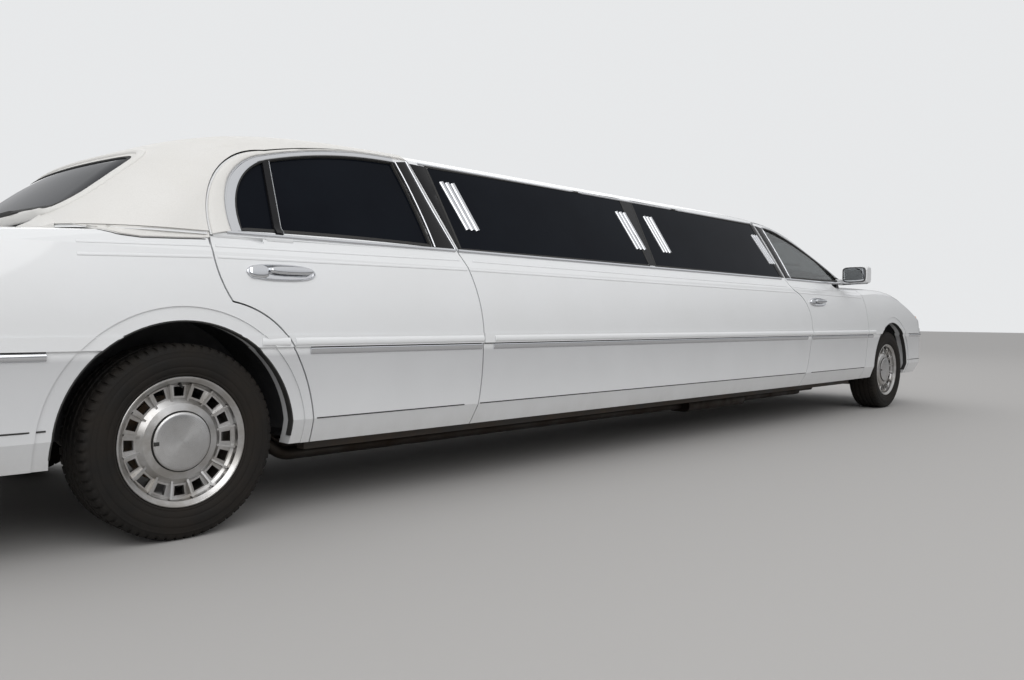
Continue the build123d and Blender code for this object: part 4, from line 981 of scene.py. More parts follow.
def pressed_section(kind):
    """The section with the cross grooves of one kind of ring pressed in."""
    result = []
    for along, radius in section:
        reach = abs(along)
        if kind == SHOULDER_GROOVE and 0.064 < reach < 0.1045 and radius > 0.30:
            radius -= 0.0060 if reach < 0.097 else 0.0030
        if kind == CENTRE_GROOVE and 0.024 <= reach <= 0.052 and radius > 0.33:
            radius -= 0.0028
        result.append((along, radius))
    return result


RING_STEPS = (
    (-0.13, SHOULDER_GROOVE), (0.12, SHOULDER_GROOVE), (0.16, PLAIN), (0.46, CENTRE_GROOVE),
    (0.54, CENTRE_GROOVE), (0.84, PLAIN),
)
sections = [pressed_section(kind) for kind in (SHOULDER_GROOVE, PLAIN, CENTRE_GROOVE)]
for row, row_x, track_half in WHEEL_ROWS:
    for side, side_name in SIDES:
        centre = wheel_place(row_x, track_half, side)
        rings = []
        for pitch in range(TREAD_PITCHES):
            for offset, kind in RING_STEPS:
                angle = 2 * math.pi * (pitch + offset) / TREAD_PITCHES
                out = Vector((math.cos(angle), 0.0, math.sin(angle)))
                rings.append([
                    centre + Vector((0.0, side * along, 0.0)) + out * radius for along, radius in sections[kind]
                ])
        piece = Shape().sweep(rings, closed=True).piece(
            f"treaded_tyre_{row}_{side_name}", "tyre", f"{row}_wheel_{side_name}", 50.0)
        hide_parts(f"{row}_tyre_{side_name}")
print("tyre rings", len(rings), "section points", len(section))

# %% [markdown]
# The alloy wheel has sixteen slots in the CAD model. What is added here is the machining a
# buyer sees close up: a domed and brushed hub cap with a dark joint around it, a bright lip on the
# rim flange and a rubber valve. Behind the slots sit the brake disc and its caliper, because an
# empty wheel looks wrong as soon as light falls through it.
#
# Lines left by a lathe run in circles. Both axles stand equally far from the middle of the
# wheelbase, so one group finds the distance to the nearest wheel centre and draws rings with it.

# %% Turned lines, for the hub cap
turned_group, turned_in, turned_out = start_group(
    "turned_lines",
    (("Position", "NodeSocketVector", None), ("Lines Per Metre", "NodeSocketFloat", 900.0)),
    (("Height", "NodeSocketFloat"), ("Mask", "NodeSocketFloat")),
)
split = turned_group.nodes.new("ShaderNodeSeparateXYZ")
turned_group.links.new(turned_in.outputs["Position"], split.inputs["Vector"])
from_middle = math_node(turned_group, "ABSOLUTE", math_node(
    turned_group, "SUBTRACT", split.outputs["X"], (REAR_AXLE + FRONT_AXLE) / 2))
local_x = math_node(turned_group, "SUBTRACT", from_middle, (FRONT_AXLE - REAR_AXLE) / 2)
local_z = math_node(turned_group, "SUBTRACT", split.outputs["Z"], HUB_HEIGHT)
radius = math_node(turned_group, "SQRT", math_node(
    turned_group, "ADD", math_node(turned_group, "POWER", local_x, 2.0), math_node(
        turned_group, "POWER", local_z, 2.0)))
ring_place = turned_group.nodes.new("ShaderNodeCombineXYZ")
turned_group.links.new(math_node(turned_group, "MULTIPLY", radius, turned_in.outputs["Lines Per Metre"]),
                       ring_place.inputs["X"])
ring_noise = noise_node(turned_group, ring_place.outputs["Vector"], 1.0, 4.0, 0.7)
turned_group.links.new(ring_noise, turned_out.inputs["Height"])
turned_group.links.new(spread(turned_group, ring_noise, 0.35, 0.65), turned_out.inputs["Mask"])
print("group", turned_group.name)

# %% Brushed cap finish
tree, shader, position = start_finish("brushed_cap", (0.50, 0.50, 0.50), 0.30, 1.0)
shader.inputs["Anisotropic"].default_value = 0.75
lathe = tree.nodes.new("ShaderNodeTangent")
lathe.direction_type = "RADIAL"
lathe.axis = "Y"
tree.links.new(lathe.outputs["Tangent"], shader.inputs["Tangent"])
lines = put_group(tree, turned_group, position, Lines_Per_Metre=1400.0)
put_drift(tree, shader, position, (0.56, 0.56, 0.56), (0.47, 0.465, 0.46), Scale=20.0, Contrast=0.25)
put_rough(tree, shader, lines.outputs["Mask"], 0.24, 0.38)
put_bump(tree, shader, lines.outputs["Height"], 0.00004, 0.5)

# %% Caps, flange lips, valves and brakes
CAP_PROFILE = (
    (0.0730, 0.0982), (0.0840, 0.0982), (0.0868, 0.0972), (0.0884, 0.0945), (0.0893, 0.0900), (0.0901, 0.0760),
    (0.0912, 0.0500), (0.0920, 0.0250), (0.0922, 0.0004),
)
JOINT_PROFILE = ((0.0726, 0.0984), (0.0752, 0.0984), (0.0752, 0.1022), (0.0726, 0.1022))
LIP_PROFILE = (
    (0.0960, 0.2206), (0.0990, 0.2206), (0.1002, 0.2192), (0.1004, 0.2168), (0.0996, 0.2146), (0.0975, 0.2130),
    (0.0935, 0.2090), (0.0905, 0.2060), (0.0900, 0.2040), (0.0880, 0.2100), (0.0930, 0.2140),
)
DISC_PROFILE = (
    (-0.052, 0.082), (-0.052, 0.147), (-0.045, 0.1485), (-0.044, 0.141), (-0.036, 0.141), (-0.035, 0.1485),
    (-0.028, 0.147), (-0.028, 0.082),
)
NOTCH_WIDTH = 0.013
NOTCH_SECTION = ((-0.5, -0.004), (-0.5, 0.0), (-0.3, 0.0010), (0.3, 0.0010), (0.5, 0.0), (0.5, -0.004))
NOTCH_REACHES = (0.0800, 0.0820, 0.0975)
VALVE_PROFILE = (
    (0.0, 0.0058), (0.012, 0.0052), (0.024, 0.0045), (0.025, 0.0036), (0.033, 0.0036), (0.034, 0.0004),
)
CALIPER_SECTION = (
    (-0.058, 0.108), (-0.058, 0.158), (-0.052, 0.165), (-0.018, 0.165), (-0.012, 0.158), (-0.012, 0.108),
    (-0.024, 0.104), (-0.024, 0.152), (-0.055, 0.152), (-0.055, 0.104),
)
for row, row_x, track_half in WHEEL_ROWS:
    for side, side_name in SIDES:
        centre = wheel_place(row_x, track_half, side)
        axis = (0.0, side, 0.0)
        body = f"{row}_wheel_{side_name}"
        for label, profile, finish, closed, count in (
            ("hub_cap", CAP_PROFILE, "brushed_cap", False, 96),
            ("cap_joint", JOINT_PROFILE, "rubber_seal", True, 64),
            ("rim_lip", LIP_PROFILE, "alloy", True, 96),
            ("brake_disc", DISC_PROFILE, "brake_iron", True, 64),
        ):
            Shape().turned(profile, centre, axis, (1.0, 0.0, 0.0), count, closed).piece(
                f"{label}_{row}_{side_name}", finish, body, 35.0)
        face = centre + Vector((0.0, side * 0.0903, 0.0))
        Shape().sweep([
            [face + Vector((-reach, side * lift, NOTCH_WIDTH * across)) for across, lift in NOTCH_SECTION]
            for reach in NOTCH_REACHES
        ]).piece(f"cap_notch_{row}_{side_name}", "rubber_seal", body, 30.0)
        valve_at = centre + Vector((0.0, side * 0.058, 0.196))
        Shape().turned(VALVE_PROFILE, valve_at, (0.0, side * 0.92, -0.38), (1.0, 0.0, 0.0), 16, False).piece(
            f"valve_{row}_{side_name}", "rubber_seal", body, 30.0)
        rings = []
        for step in range(9):
            angle = math.radians(-28 + 56 * step / 8) + (math.pi if row == "front" else 0.0)
            out = Vector((math.cos(angle), 0.0, math.sin(angle)))
            rings.append([
                centre + Vector((0.0, side * along, 0.0)) + out * radius for along, radius in CALIPER_SECTION
            ])
        carrier = f"knuckle_{side_name}" if row == "front" else "body"
        Shape().sweep(rings).piece(f"caliper_{row}_{side_name}", "cast_iron", carrier, 40.0)
print("pieces on each wheel:", 7)

# %% [markdown]
# ## Covers that follow the skin
#
# Wide trim, such as a black pillar cover or the padded vinyl beside a window, is not a strip but a
# patch between two lines. Both lines are drawn in the side view with the same number of points.
# The patch is thrown onto the skin row by row, and a small table says how far each row stands off:
# even for a flat cover, higher in the middle for a pad.

# %% Patches between two lines
def resampled(path, count):
    """The path with a given number of evenly spaced points."""
    steps = [0.0]
    for a, b in zip(path, path[1:]):
        steps.append(steps[-1] + math.dist(a, b))
    result = []
    for index in range(count):
        want = steps[-1] * index / (count - 1)
        k = max(i for i in range(len(steps) - 1) if steps[i] <= want + 1e-9)
        share = (want - steps[k]) / ((steps[k + 1] - steps[k]) or 1.0)
        a, b = path[k], path[k + 1]
        result.append((a[0] + (b[0] - a[0]) * share, a[1] + (b[1] - a[1]) * share))
    return result


FLAT_ROWS = (
    (0.0, -0.0015), (0.0, 0.0012), (0.03, 0.0020), (0.5, 0.0020), (0.97, 0.0020), (1.0, 0.0012),
    (1.0, -0.0015),
)
PAD_ROWS = (
    (0.0, -0.002), (0.0, 0.003), (0.04, 0.0062), (0.14, 0.0078), (0.30, 0.0086), (0.5, 0.0090), (0.70, 0.0086),
    (0.86, 0.0078), (0.96, 0.0062), (1.0, 0.003), (1.0, -0.002),
)


def skin_patch(line_a, line_b, tree, side, rows, start=OUTSIDE, ripple=0.0):
    """Rings of a patch between two side-view lines."""
    rings = []
    for index, (a, b) in enumerate(zip(line_a, line_b)):
        ring, last = [], None
        for share, lift in rows:
            x, z = a[0] + (b[0] - a[0]) * share, a[1] + (b[1] - a[1]) * share
            hit = skin_point(tree, x, z, side, start)
            if last and (hit is None or abs(hit[0].y) < abs(last[0].y) - 0.020):
                # past the edge of the sheet: stay in the plane of the last point that met it
                place, normal = last
                slide = ((x - place.x) * normal.x + (z - place.z) * normal.z) / normal.y
                hit = (Vector((x, place.y - slide, z)), normal)
            if hit is None:
                break
            last = hit
            wave = ripple * math.sin(index * 1.9 + share * 5.0) * math.sin(math.pi * share) if lift > 0 else 0.0
            ring.append(hit[0] + hit[1] * (lift + wave))
        if len(ring) == len(rows):
            rings.append(ring)
    return rings


# %% [markdown]
# ## Rear door frame
#
# The vinyl of the roof reaches over the rear door's frame, padded, from the belt up and over to
# the middle pillar. A bright surround lies between the pad and the glass. It is wide behind the
# quarter pane and thin over the top. The pillar in front is black, with a bright line at each side.

# %% Pads, surrounds and pillars of the rear door
REAR_SHUT = (
    arc_through((-2.861, 1.035), (-2.790, 1.265), (-2.560, 1.385)),
    arc_through((-2.560, 1.385), (-2.260, 1.438), (-1.841, 1.452)),
)
REAR_GLASS_EDGE = (REAR_WINDOW[2][::-1], REAR_WINDOW[1][::-1])
ARC_POINTS = 26
outer_line, inner_line = [], []
for shut, glass in zip(REAR_SHUT, REAR_GLASS_EDGE):
    outer_line += resampled(shut, ARC_POINTS)[1 if outer_line else 0:]
    inner_line += resampled(glass, ARC_POINTS)[1 if inner_line else 0:]
whole = len(outer_line) - 1


def drawn_back(distances):
    """The glass edge moved back towards the shut line by a distance at each point."""
    result = []
    for index, (x, z) in enumerate(inner_line):
        before, after = inner_line[max(index - 1, 0)], inner_line[min(index + 1, whole)]
        dx, dz = after[0] - before[0], after[1] - before[1]
        size = math.hypot(dx, dz)
        result.append((x - dz / size * distances[index], z + dx / size * distances[index]))
    return result


band_widths = [0.038 - 0.021 * min(1.0, max(0.0, (i / whole - 0.25) / 0.25)) for i in range(whole + 1)]
chrome_outer = drawn_back(band_widths)
pad_inner = drawn_back([width + 0.002 for width in band_widths])
pad_outer = [
    (a[0] + (b[0] - a[0]) * 0.005 / math.dist(a, b), a[1] + (b[1] - a[1]) * 0.005 / math.dist(a, b))
    for a, b in zip(outer_line, inner_line)
]
SURROUND_ROWS = (
    (0.0, -0.002), (0.0, 0.0042), (0.05, 0.0062), (0.13, 0.0062), (0.18, 0.0036), (0.55, 0.0030), (0.9, 0.0032),
    (1.0, 0.0015), (1.0, -0.006),
)
for side, side_name in SIDES:
    door = f"rear_door_{side_name}"
    tree = skin_of(door)
    Shape().sweep(skin_patch(pad_outer, pad_inner, tree, side, PAD_ROWS, ripple=0.0007)).piece(
        f"door_pad_{side_name}", "vinyl", door, 60.0)
    Shape().sweep(skin_patch(chrome_outer, inner_line, tree, side, SURROUND_ROWS)).piece(
        f"wide_surround_{side_name}", "chrome", door, 35.0)
    glass_front = resampled(REAR_WINDOW[0], 24)
    shut_front = resampled(arc_through((-1.7195, 1.052), (-1.786, 1.245), (-1.843, 1.445)), 24)
    Shape().sweep(skin_patch(glass_front, shut_front, tree, side, FLAT_ROWS)).piece(
        f"door_pillar_cover_{side_name}", "pillar_black", door, 35.0)
    lines = Shape()
    for line, inward in ((glass_front, 0.010), (shut_front, -0.008)):
        path = [(x + inward, z) for x, z in line]
        lines.sweep(skin_rings(path, tree, side, 0.007, 0.005, lift=0.0015))
    lines.piece(f"pillar_lines_{side_name}", "chrome", door, 50.0)
    post_tree = skin_of(f"centre_side_{side_name}", "centre_glass")
    post_rear = resampled(run_between((-1.7065, 1.054), (-1.831, 1.438)), 20)
    post_front = resampled(run_between((-1.690, 1.058), (-1.738, 1.436)), 20)
    Shape().sweep(skin_patch(post_rear, post_front, post_tree, side, FLAT_ROWS)).piece(
        f"fixed_pillar_cover_{side_name}", "pillar_black", "body", 35.0)
    pane_tree = skin_of(f"rear_door_glass_{side_name}", door)
    path = resampled(run_between((-2.5920, 1.052), (-2.5640, 1.340)), 14)
    Shape().sweep(skin_rings(path, pane_tree, side, 0.030, 0.012, FLAT, lift=-0.001)).piece(
        f"quarter_divider_{side_name}", "pillar_black", door, 35.0)
    path = resampled(run_between((-2.5780, 1.052), (-2.5500, 1.342)), 14)
    Shape().sweep(skin_rings(path, pane_tree, side, 0.004, 0.014, lift=0.0)).piece(
        f"divider_line_{side_name}", "chrome", door, 50.0)
print("door frames dressed, points on a pad's edge", len(pad_outer))

# %% Posts between and beside the long panes
POST_POINTS = 18
for side, side_name in SIDES:
    tree = skin_of(f"centre_side_{side_name}", "centre_glass")
    for name, rear_edge, front_edge in (
        ("middle_post", ((-0.250, 1.058), (-0.286, 1.441)), ((-0.186, 1.058), (-0.176, 1.441))),
        ("front_post", ((1.330, 1.052), (1.222, 1.424)), ((1.378, 1.052), (1.270, 1.424))),
    ):
        rear_line, front_line = (resampled(run_between(*edge), POST_POINTS) for edge in (rear_edge, front_edge))
        Shape().sweep(skin_patch(rear_line, front_line, tree, side, FLAT_ROWS)).piece(
            f"{name}_cover_{side_name}", "pillar_black", "body", 35.0)
    rear_line = resampled(arc_through((1.396, 1.050), (1.350, 1.235), (1.286, 1.420)), POST_POINTS)
    front_line = resampled(arc_through((1.474, 1.050), (1.434, 1.245), (1.384, 1.410)), POST_POINTS)
    door = f"front_door_{side_name}"
    Shape().sweep(skin_patch(rear_line, front_line, skin_of(door), side, FLAT_ROWS, start=UNDER_MIRROR)).piece(
        f"front_door_post_cover_{side_name}", "pillar_black", door, 35.0)
    rail_path = resampled(run_between((-1.836, 1.4455), (1.268, 1.4315)), 60)
    Shape().sweep(skin_rings(rail_path, tree, side, 0.010, 0.007, lift=-0.001)).piece(
        f"gutter_rail_{side_name}", "chrome", "body", 50.0)
print("posts dressed")

# %% [markdown]
# ## Door handles
#
# Each handle is an oval bezel, a shallow cup inside it, a grip over the cup that the fingers pull
# and a solid cap at the rear. Ovals are drawn flat beside the door and then laid onto it: the
# nearest point of the door and its normal give the plane they lie in.

# %% Ovals laid on a door
def surface_axes(tree, x, z, side, start=OUTSIDE):
    """A place on the skin with its forward, upward and outward directions."""
    place, normal = skin_point(tree, x, z, side, start)
    forward = Vector((1.0, 0.0, 0.0))
    forward = (forward - normal * forward.dot(normal)).normalized()
    upward = normal.cross(forward)
    if upward.z < 0:
        upward = -upward
    return place, forward, upward, normal


def oval_rings(axes, middle, half_long, half_high, steps, power=2.5, count=48):
    """Rings of an oval. Each step gives how far the ring is drawn in and how high it stands."""
    place, forward, upward, outward = axes
    rings = []
    for drawn_in, height in steps:
        a, b = max(half_long - drawn_in, 0.0005), max(half_high - drawn_in, 0.0005)
        ring = []
        for angle in turns(count):
            c, s = math.cos(angle), math.sin(angle)
            u = middle[0] + a * math.copysign(abs(c) ** (2 / power), c)
            v = middle[1] + b * math.copysign(abs(s) ** (2 / power), s)
            ring.append(place + forward * u + upward * v + outward * height)
        rings.append(ring)
    return rings


def oval_piece(name, finish, body, axes, half_long, half_high, steps, smooth_angle=40.0, middle=(0.0, 0.0),
               power=2.5, count=48, **sweep_options):
    """One piece made of the rings of one oval."""
    rings = oval_rings(axes, middle, half_long, half_high, steps, power, count)
    return Shape().sweep(rings, **sweep_options).piece(name, finish, body, smooth_angle)


# %% Bezels, cups and grips
HANDLES = (("front", 1.808, 0.888), ("rear", -2.610, 0.912))
BEZEL_STEPS = (
    (0.0, -0.010), (0.0, 0.0015), (0.0008, 0.0040), (0.0030, 0.0058), (0.0055, 0.0058), (0.0075, 0.0040),
    (0.0080, 0.0012),
)
CUP_STEPS = ((0.0070, -0.002), (0.0072, 0.0022), (0.012, 0.0010), (0.020, 0.0006), (0.028, 0.0005))
CAP_STEPS = (
    (0.0, -0.004), (0.0, 0.0070), (0.0010, 0.0095), (0.0035, 0.0118), (0.0080, 0.0132), (0.0150, 0.0138),
)
GRIP_STEPS = (
    (0.0025, 0.0085), (0.0004, 0.0105), (0.0, 0.0135), (0.0010, 0.0168), (0.0034, 0.0190), (0.0070, 0.0201),
    (0.0115, 0.0205),
)
FOOT_STEPS = ((0.0, -0.002), (0.0, 0.0120))
for row, x, z in HANDLES:
    for side, side_name in SIDES:
        door = f"{row}_door_{side_name}"
        axes = surface_axes(skin_of(door), x, z, side)
        oval_piece(f"handle_bezel_{row}_{side_name}", "chrome", door, axes, 0.1385, 0.0320, BEZEL_STEPS,
                   caps=False)
        oval_piece(f"handle_cup_{row}_{side_name}", "chrome", door, axes, 0.1385, 0.0320, CUP_STEPS)
        oval_piece(f"handle_cap_{row}_{side_name}", "chrome", door, axes, 0.0385, 0.0235, CAP_STEPS, 35.0,
                   (-0.0930, 0.0), power=3.2, count=40)
        grip = Shape()
        grip.sweep(oval_rings(axes, (0.0360, 0.0065), 0.0880, 0.0150, GRIP_STEPS, power=3.0))
        for u in (-0.040, 0.104):
            grip.sweep(oval_rings(axes, (u, 0.0065), 0.0130, 0.0100, FOOT_STEPS, power=3.0, count=20))
        grip_piece = grip.piece(f"handle_grip_{row}_{side_name}", "chrome", door, 35.0)
        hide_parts(f"{row}_handle_{side_name}")
print("handles:", 2 * len(HANDLES))

# %% [markdown]
# ## Arches and sill
#
# A dark lip closes the inner edge of each wheel arch. Low on the body a thin dark joint runs from
# arch to arch, where the lower panels are screwed to the doors and the sill.

# %% Lips of the wheel arches
ARCH_RADIUS, ARCH_LOW = 0.4115, 0.300
LIP_SECTION = (
    (0.4075, -0.030), (0.4040, -0.028), (0.4030, -0.004), (0.4045, 0.0008), (0.4080, 0.0012), (0.4105, -0.0005),
    (0.4080, -0.006),
)
for row, row_x, fender in (("rear", REAR_AXLE - 0.012, "rear_quarter"), ("front", FRONT_AXLE, "front_fender")):
    for side, side_name in SIDES:
        tree = skin_of(f"{fender}_{side_name}", f"{row}_bumper")
        rings = []
        for step in range(49):
            angle = math.radians(-6 + 192 * step / 48)
            out = Vector((math.cos(angle), 0.0, math.sin(angle)))
            at = Vector((row_x, 0.0, HUB_HEIGHT)) + out * ARCH_RADIUS
            hit = skin_point(tree, at.x, at.z, side)
            if hit is None or at.z < ARCH_LOW:
                continue
            base = Vector((row_x, hit[0].y, HUB_HEIGHT))
            rings.append([
                base + out * radius + Vector((0.0, side * depth, 0.0)) for radius, depth in LIP_SECTION
            ])
        if len(rings) > 2:
            Shape().sweep(rings).piece(f"arch_lip_{row}_{side_name}", "rubber_seal", "body", 40.0)
print("arch lips done")

# %% Lower joints
SEAM_Z = 0.3765
SEAM_STRETCHES = (
    ("rear_door", -2.470, -1.642), ("centre_side", -1.630, 1.606), ("front_door", 1.618, 2.690),
)
panel_strips("lower_joint", at_level(SEAM_Z, SEAM_STRETCHES), 0.0045, 0.0012, 0.0002, "rubber_seal", FLAT,
             step=0.08, smooth_angle=40.0)

# %% [markdown]
# ## Both ends of the car
#
# The windscreen, the backlight and the lamps are seen from the front or the rear, so their paths
# are drawn in that view and thrown along the car instead of across it. Apart from that the strips
# are made as before. A strip that runs round a corner takes its places from both directions.

# %% Strips drawn from the front or the rear
def end_point(tree, y, z, end):
    """Where a ray along the car meets the skin of the nose or the tail."""
    place, normal, _, _ = tree.ray_cast(Vector((end * 5.0, y, z)), Vector((-end, 0.0, 0.0)), 4.0)
    if place is None:
        return None
    return place, normal if normal.x * end > 0 else -normal


def end_rings(path, tree, end, width, height, profile=STRIP, closed=False, lift=0.0):
    """Rings of a strip along a path of (y, z) points on the nose or the tail."""
    hits = [end_point(tree, y, z, end) for y, z in path]
    return strip_rings([hit for hit in hits if hit], width, height, profile, closed, lift)


def rounded_loop(corners, radius, step=0.03):
    """A closed polygon with rounded corners as evenly spaced points."""
    loop = []
    count = len(corners)
    for i, corner in enumerate(corners):
        before, after = Vector(corners[i - 1]), Vector(corners[(i + 1) % count])
        corner = Vector(corner)
        to_before = (before - corner).normalized()
        to_after = (after - corner).normalized()
        start, stop = corner + to_before * radius, corner + to_after * radius
        for k in range(7):
            t = k / 6
            loop.append(tuple(start * (1 - t) ** 2 + corner * (2 * t * (1 - t)) + stop * t**2))
        nearest = after + (corner - after).normalized() * radius
        loop.extend(run_between(tuple(stop), tuple(nearest), step)[1:-1])
    return loop


# %% Windscreen and backlight
WINDSHIELD = ((-0.800, 1.082), (0.800, 1.082), (0.618, 1.378), (-0.618, 1.378))
BACKLIGHT = ((-0.660, 1.116), (0.660, 1.116), (0.590, 1.326), (-0.590, 1.326))
screen_loop, rear_loop = rounded_loop(WINDSHIELD, 0.07), rounded_loop(BACKLIGHT, 0.06)
screen_tree, rear_tree = skin_of("windshield", "roof"), skin_of("backlight", "vinyl_top", "roof")
for name, finish, loop, tree, end, width, height, profile, lift, smooth_angle in (
    ("windshield_moulding", "rubber_seal", screen_loop, screen_tree, 1.0, 0.020, 0.005, STRIP, -0.001, 60.0),
    ("backlight_seal", "rubber_seal", rear_loop, rear_tree, -1.0, 0.018, 0.004, FLAT, 0.0, 60.0),
    ("backlight_roll", "vinyl", moved_out(rear_loop, 0.026), rear_tree, -1.0, 0.036, 0.010, STRIP, -0.002, 70.0),
):
    rings = end_rings(loop, tree, end, width, height, profile, True, lift)
    Shape().sweep(rings, closed=True).piece(name, finish, "body", smooth_angle)
print("windscreen points", len(screen_loop), "backlight points", len(rear_loop))

# %% [markdown]
# The vinyl ends in a drawn-down skirt below the roof's edge, with a welt along its foot and a dark
# line where it meets the paint. Behind the side of the rear window it flares out onto the deck.
# The skirt is a patch like the pads; the flare joins the cut end of the roof to the deck.

# %% Skirt, welt and flare of the vinyl
FLARE_X = -3.2975
SKIRT_FOOT = (
    (-3.2665, 1.0470), (-3.2200, 1.0300), (-3.1685, 1.0180), (-3.0995, 1.0130), (-2.9800, 1.0180),
    (-2.8680, 1.0235),
)
SKIRT_ROWS = (
    (0.0, -0.003), (0.0, 0.0022), (0.10, 0.0034), (0.5, 0.0042), (0.88, 0.0036), (1.0, 0.0024),
    (1.0, -0.003),
)
for side, side_name in SIDES:
    tree = skin_of("roof", "vinyl_top", f"rear_quarter_{side_name}")
    foot = resampled(list(SKIRT_FOOT), 34)
    top = [(x, max(z + 0.003, 1.0460 + 0.004 * (x + 2.868))) for x, z in foot]
    Shape().sweep(skin_patch(top, foot, tree, side, SKIRT_ROWS, ripple=0.0005)).piece(
        f"vinyl_skirt_{side_name}", "vinyl", "body", 60.0)
    quarter_tree = skin_of(f"rear_quarter_{side_name}", "deck_panel")
    Shape().sweep(skin_rings(foot, quarter_tree, side, 0.0075, 0.0052, lift=0.0002)).piece(
        f"vinyl_welt_{side_name}", "vinyl", "body", 70.0)
    below_foot = [(x, z - 0.0058) for x, z in foot]
    Shape().sweep(skin_rings(below_foot, quarter_tree, side, 0.0030, 0.0010, FLAT, lift=0.0001)).piece(
        f"vinyl_line_{side_name}", "rubber_seal", "body", 40.0)
    door_tree = skin_of(f"rear_door_{side_name}")
    rings = []
    for x, _ in run_between((-2.8510, 1.0), (-2.5400, 1.0), 0.02):
        low = skin_point(door_tree, x, 1.0260, side)
        high = skin_point(door_tree, x, 1.0420, side)
        if low and high:
            rings.append([
                low[0] + low[1] * 0.0002, low[0] + low[1] * 0.0020 + Vector((0.0, 0.0, 0.0010)),
                high[0] + high[1] * 0.0022, high[0] - high[1] * 0.004, low[0] - low[1] * 0.006,
            ])
    Shape().sweep(rings).piece(f"door_ledge_{side_name}", "white_paint", f"rear_door_{side_name}", 60.0)
    flare_rings = []
    for step in range(22):
        y = side * (0.610 + 0.300 * step / 21)
        reach = 0.075 - 0.055 * step / 21
        top_hit = drop_point(skin_of("roof", "vinyl_top"), FLARE_X, y)
        foot_hit = drop_point(skin_of("deck_panel", f"rear_quarter_{side_name}"), FLARE_X - reach, y)
        if top_hit is None or foot_hit is None or top_hit.z < foot_hit.z + 0.002:
            continue
        high, low = Vector((-3.296, y, top_hit.z + 0.0016)), Vector((-3.298 - reach, y, foot_hit.z + 0.0014))
        half_way = high * 0.5 + low * 0.5 - Vector((0.0, 0.0, (high.z - low.z) * 0.12))
        flare_rings.append([
            high + Vector((0.014, 0.0, 0.0008)), high, half_way, low, low - Vector((0.001, 0.0, 0.003)),
            Vector((-3.3005, y, foot_hit.z - 0.001)), Vector((-3.3005, y, high.z - 0.006)),
            high + Vector((0.014, 0.0, -0.003)),
        ])
    Shape().sweep(flare_rings).piece(f"vinyl_flare_{side_name}", "vinyl", "body", 60.0)
    print("skirt", side_name, "flare rings", len(flare_rings))

# %% [markdown]
# ## Lamps
#
# A lamp is a clear lens with bright bowls behind it. The bowls are turned sections with a small
# bulb in the middle. The tail lamps are red all over, with bright frames and a clear lamp for
# reversing. Amber corners mark the width of the car at the front.

# %% Headlamp bowls and corner lamps
BOWL = (
    (0.0, 0.012), (0.006, 0.024), (0.016, 0.036), (0.030, 0.0455), (0.034, 0.0475), (0.030, 0.0475),
    (0.012, 0.036), (-0.004, 0.012),
)
BULB = ((0.004, 0.0004), (0.004, 0.006), (0.020, 0.007), (0.027, 0.004), (0.029, 0.0004))
BULB_DEPTH = 0.085
MARKER_REAR, MARKER_FRONT, MARKER_LOW, MARKER_HIGH = 4.100, 4.205, 0.704, 0.798
lens_tree = skin_of("headlamps")
for side, side_name in SIDES:
    bowls, bulbs = Shape(), Shape()
    for y in (0.430, 0.545, 0.660):
        hit = end_point(lens_tree, side * y, 0.748, 1.0)
        if hit is None:
            continue
        back = hit[0] - Vector((BULB_DEPTH, 0.0, 0.0))
        bowls.turned(BOWL, back, (1.0, 0.0, 0.0), (0.0, 1.0, 0.0), 40, True)
        bulbs.turned(BULB, back, (1.0, 0.0, 0.0), (0.0, 1.0, 0.0), 16, False)
    bowls.piece(f"headlamp_bowls_{side_name}", "chrome", "body", 50.0)
    bulbs.piece(f"headlamp_bulbs_{side_name}", "lamp_clear", "body", 50.0)
    low, high = (resampled([(MARKER_REAR, z), (MARKER_FRONT, z)], 8) for z in (MARKER_LOW, MARKER_HIGH))
    rings = skin_patch(low, high, lens_tree, side, FLAT_ROWS)
    if len(rings) > 1:
        Shape().sweep(rings).piece(f"corner_marker_{side_name}", "lamp_amber", "body", 40.0)
print("headlamps filled")

# %% Level runs round a corner
END_REACH, SIDE_REACH = 4.34, 0.93


def corner_run(tree, z, end, side, side_x, inner_y, side_steps=10, end_steps=12):
    """Hits along a level line from the side of the car round one corner."""
    hits = []
    for step in range(side_steps):
        x = side_x + (end * END_REACH - side_x) * step / (side_steps - 1)
        hit = skin_point(tree, x, z, side)
        if hit and hit[1].y * side > 0.5:
            hits.append(hit)
    for step in range(end_steps):
        y = side * (SIDE_REACH + (inner_y - SIDE_REACH) * step / (end_steps - 1))
        hit = end_point(tree, y, z, end)
        if hit and hit[1].x * end > 0.5:
            hits.append(hit)
    return hits


# %% Strips and joints round the bumpers
for name, end, side_x in (("rear_bumper", -1.0, -3.395), ("front_bumper", 1.0, 3.765)):
    tree = skin_of(name)
    for label, level, width, height, profile, lift, finish in (
        ("strip", 0.6290, 0.026, 0.010, STRIP, -0.002, "chrome"),
        ("joint", 0.4080, 0.0050, 0.0012, FLAT, 0.0003, "rubber_seal"),
        ("shadow", 0.6450, 0.0060, 0.0020, FLAT, -0.0004, "rubber_seal"),
    ):
        left_run = corner_run(tree, level, end, 1, side_x, 0.0, 16, 24)
        right_run = corner_run(tree, level, end, -1, side_x, 0.0, 16, 24)
        Shape().sweep(strip_rings(left_run + right_run[-2::-1], width, height, profile, lift=lift)).piece(
            f"{name}_{label}", finish, "body", 60.0)
print("bumper strips done")

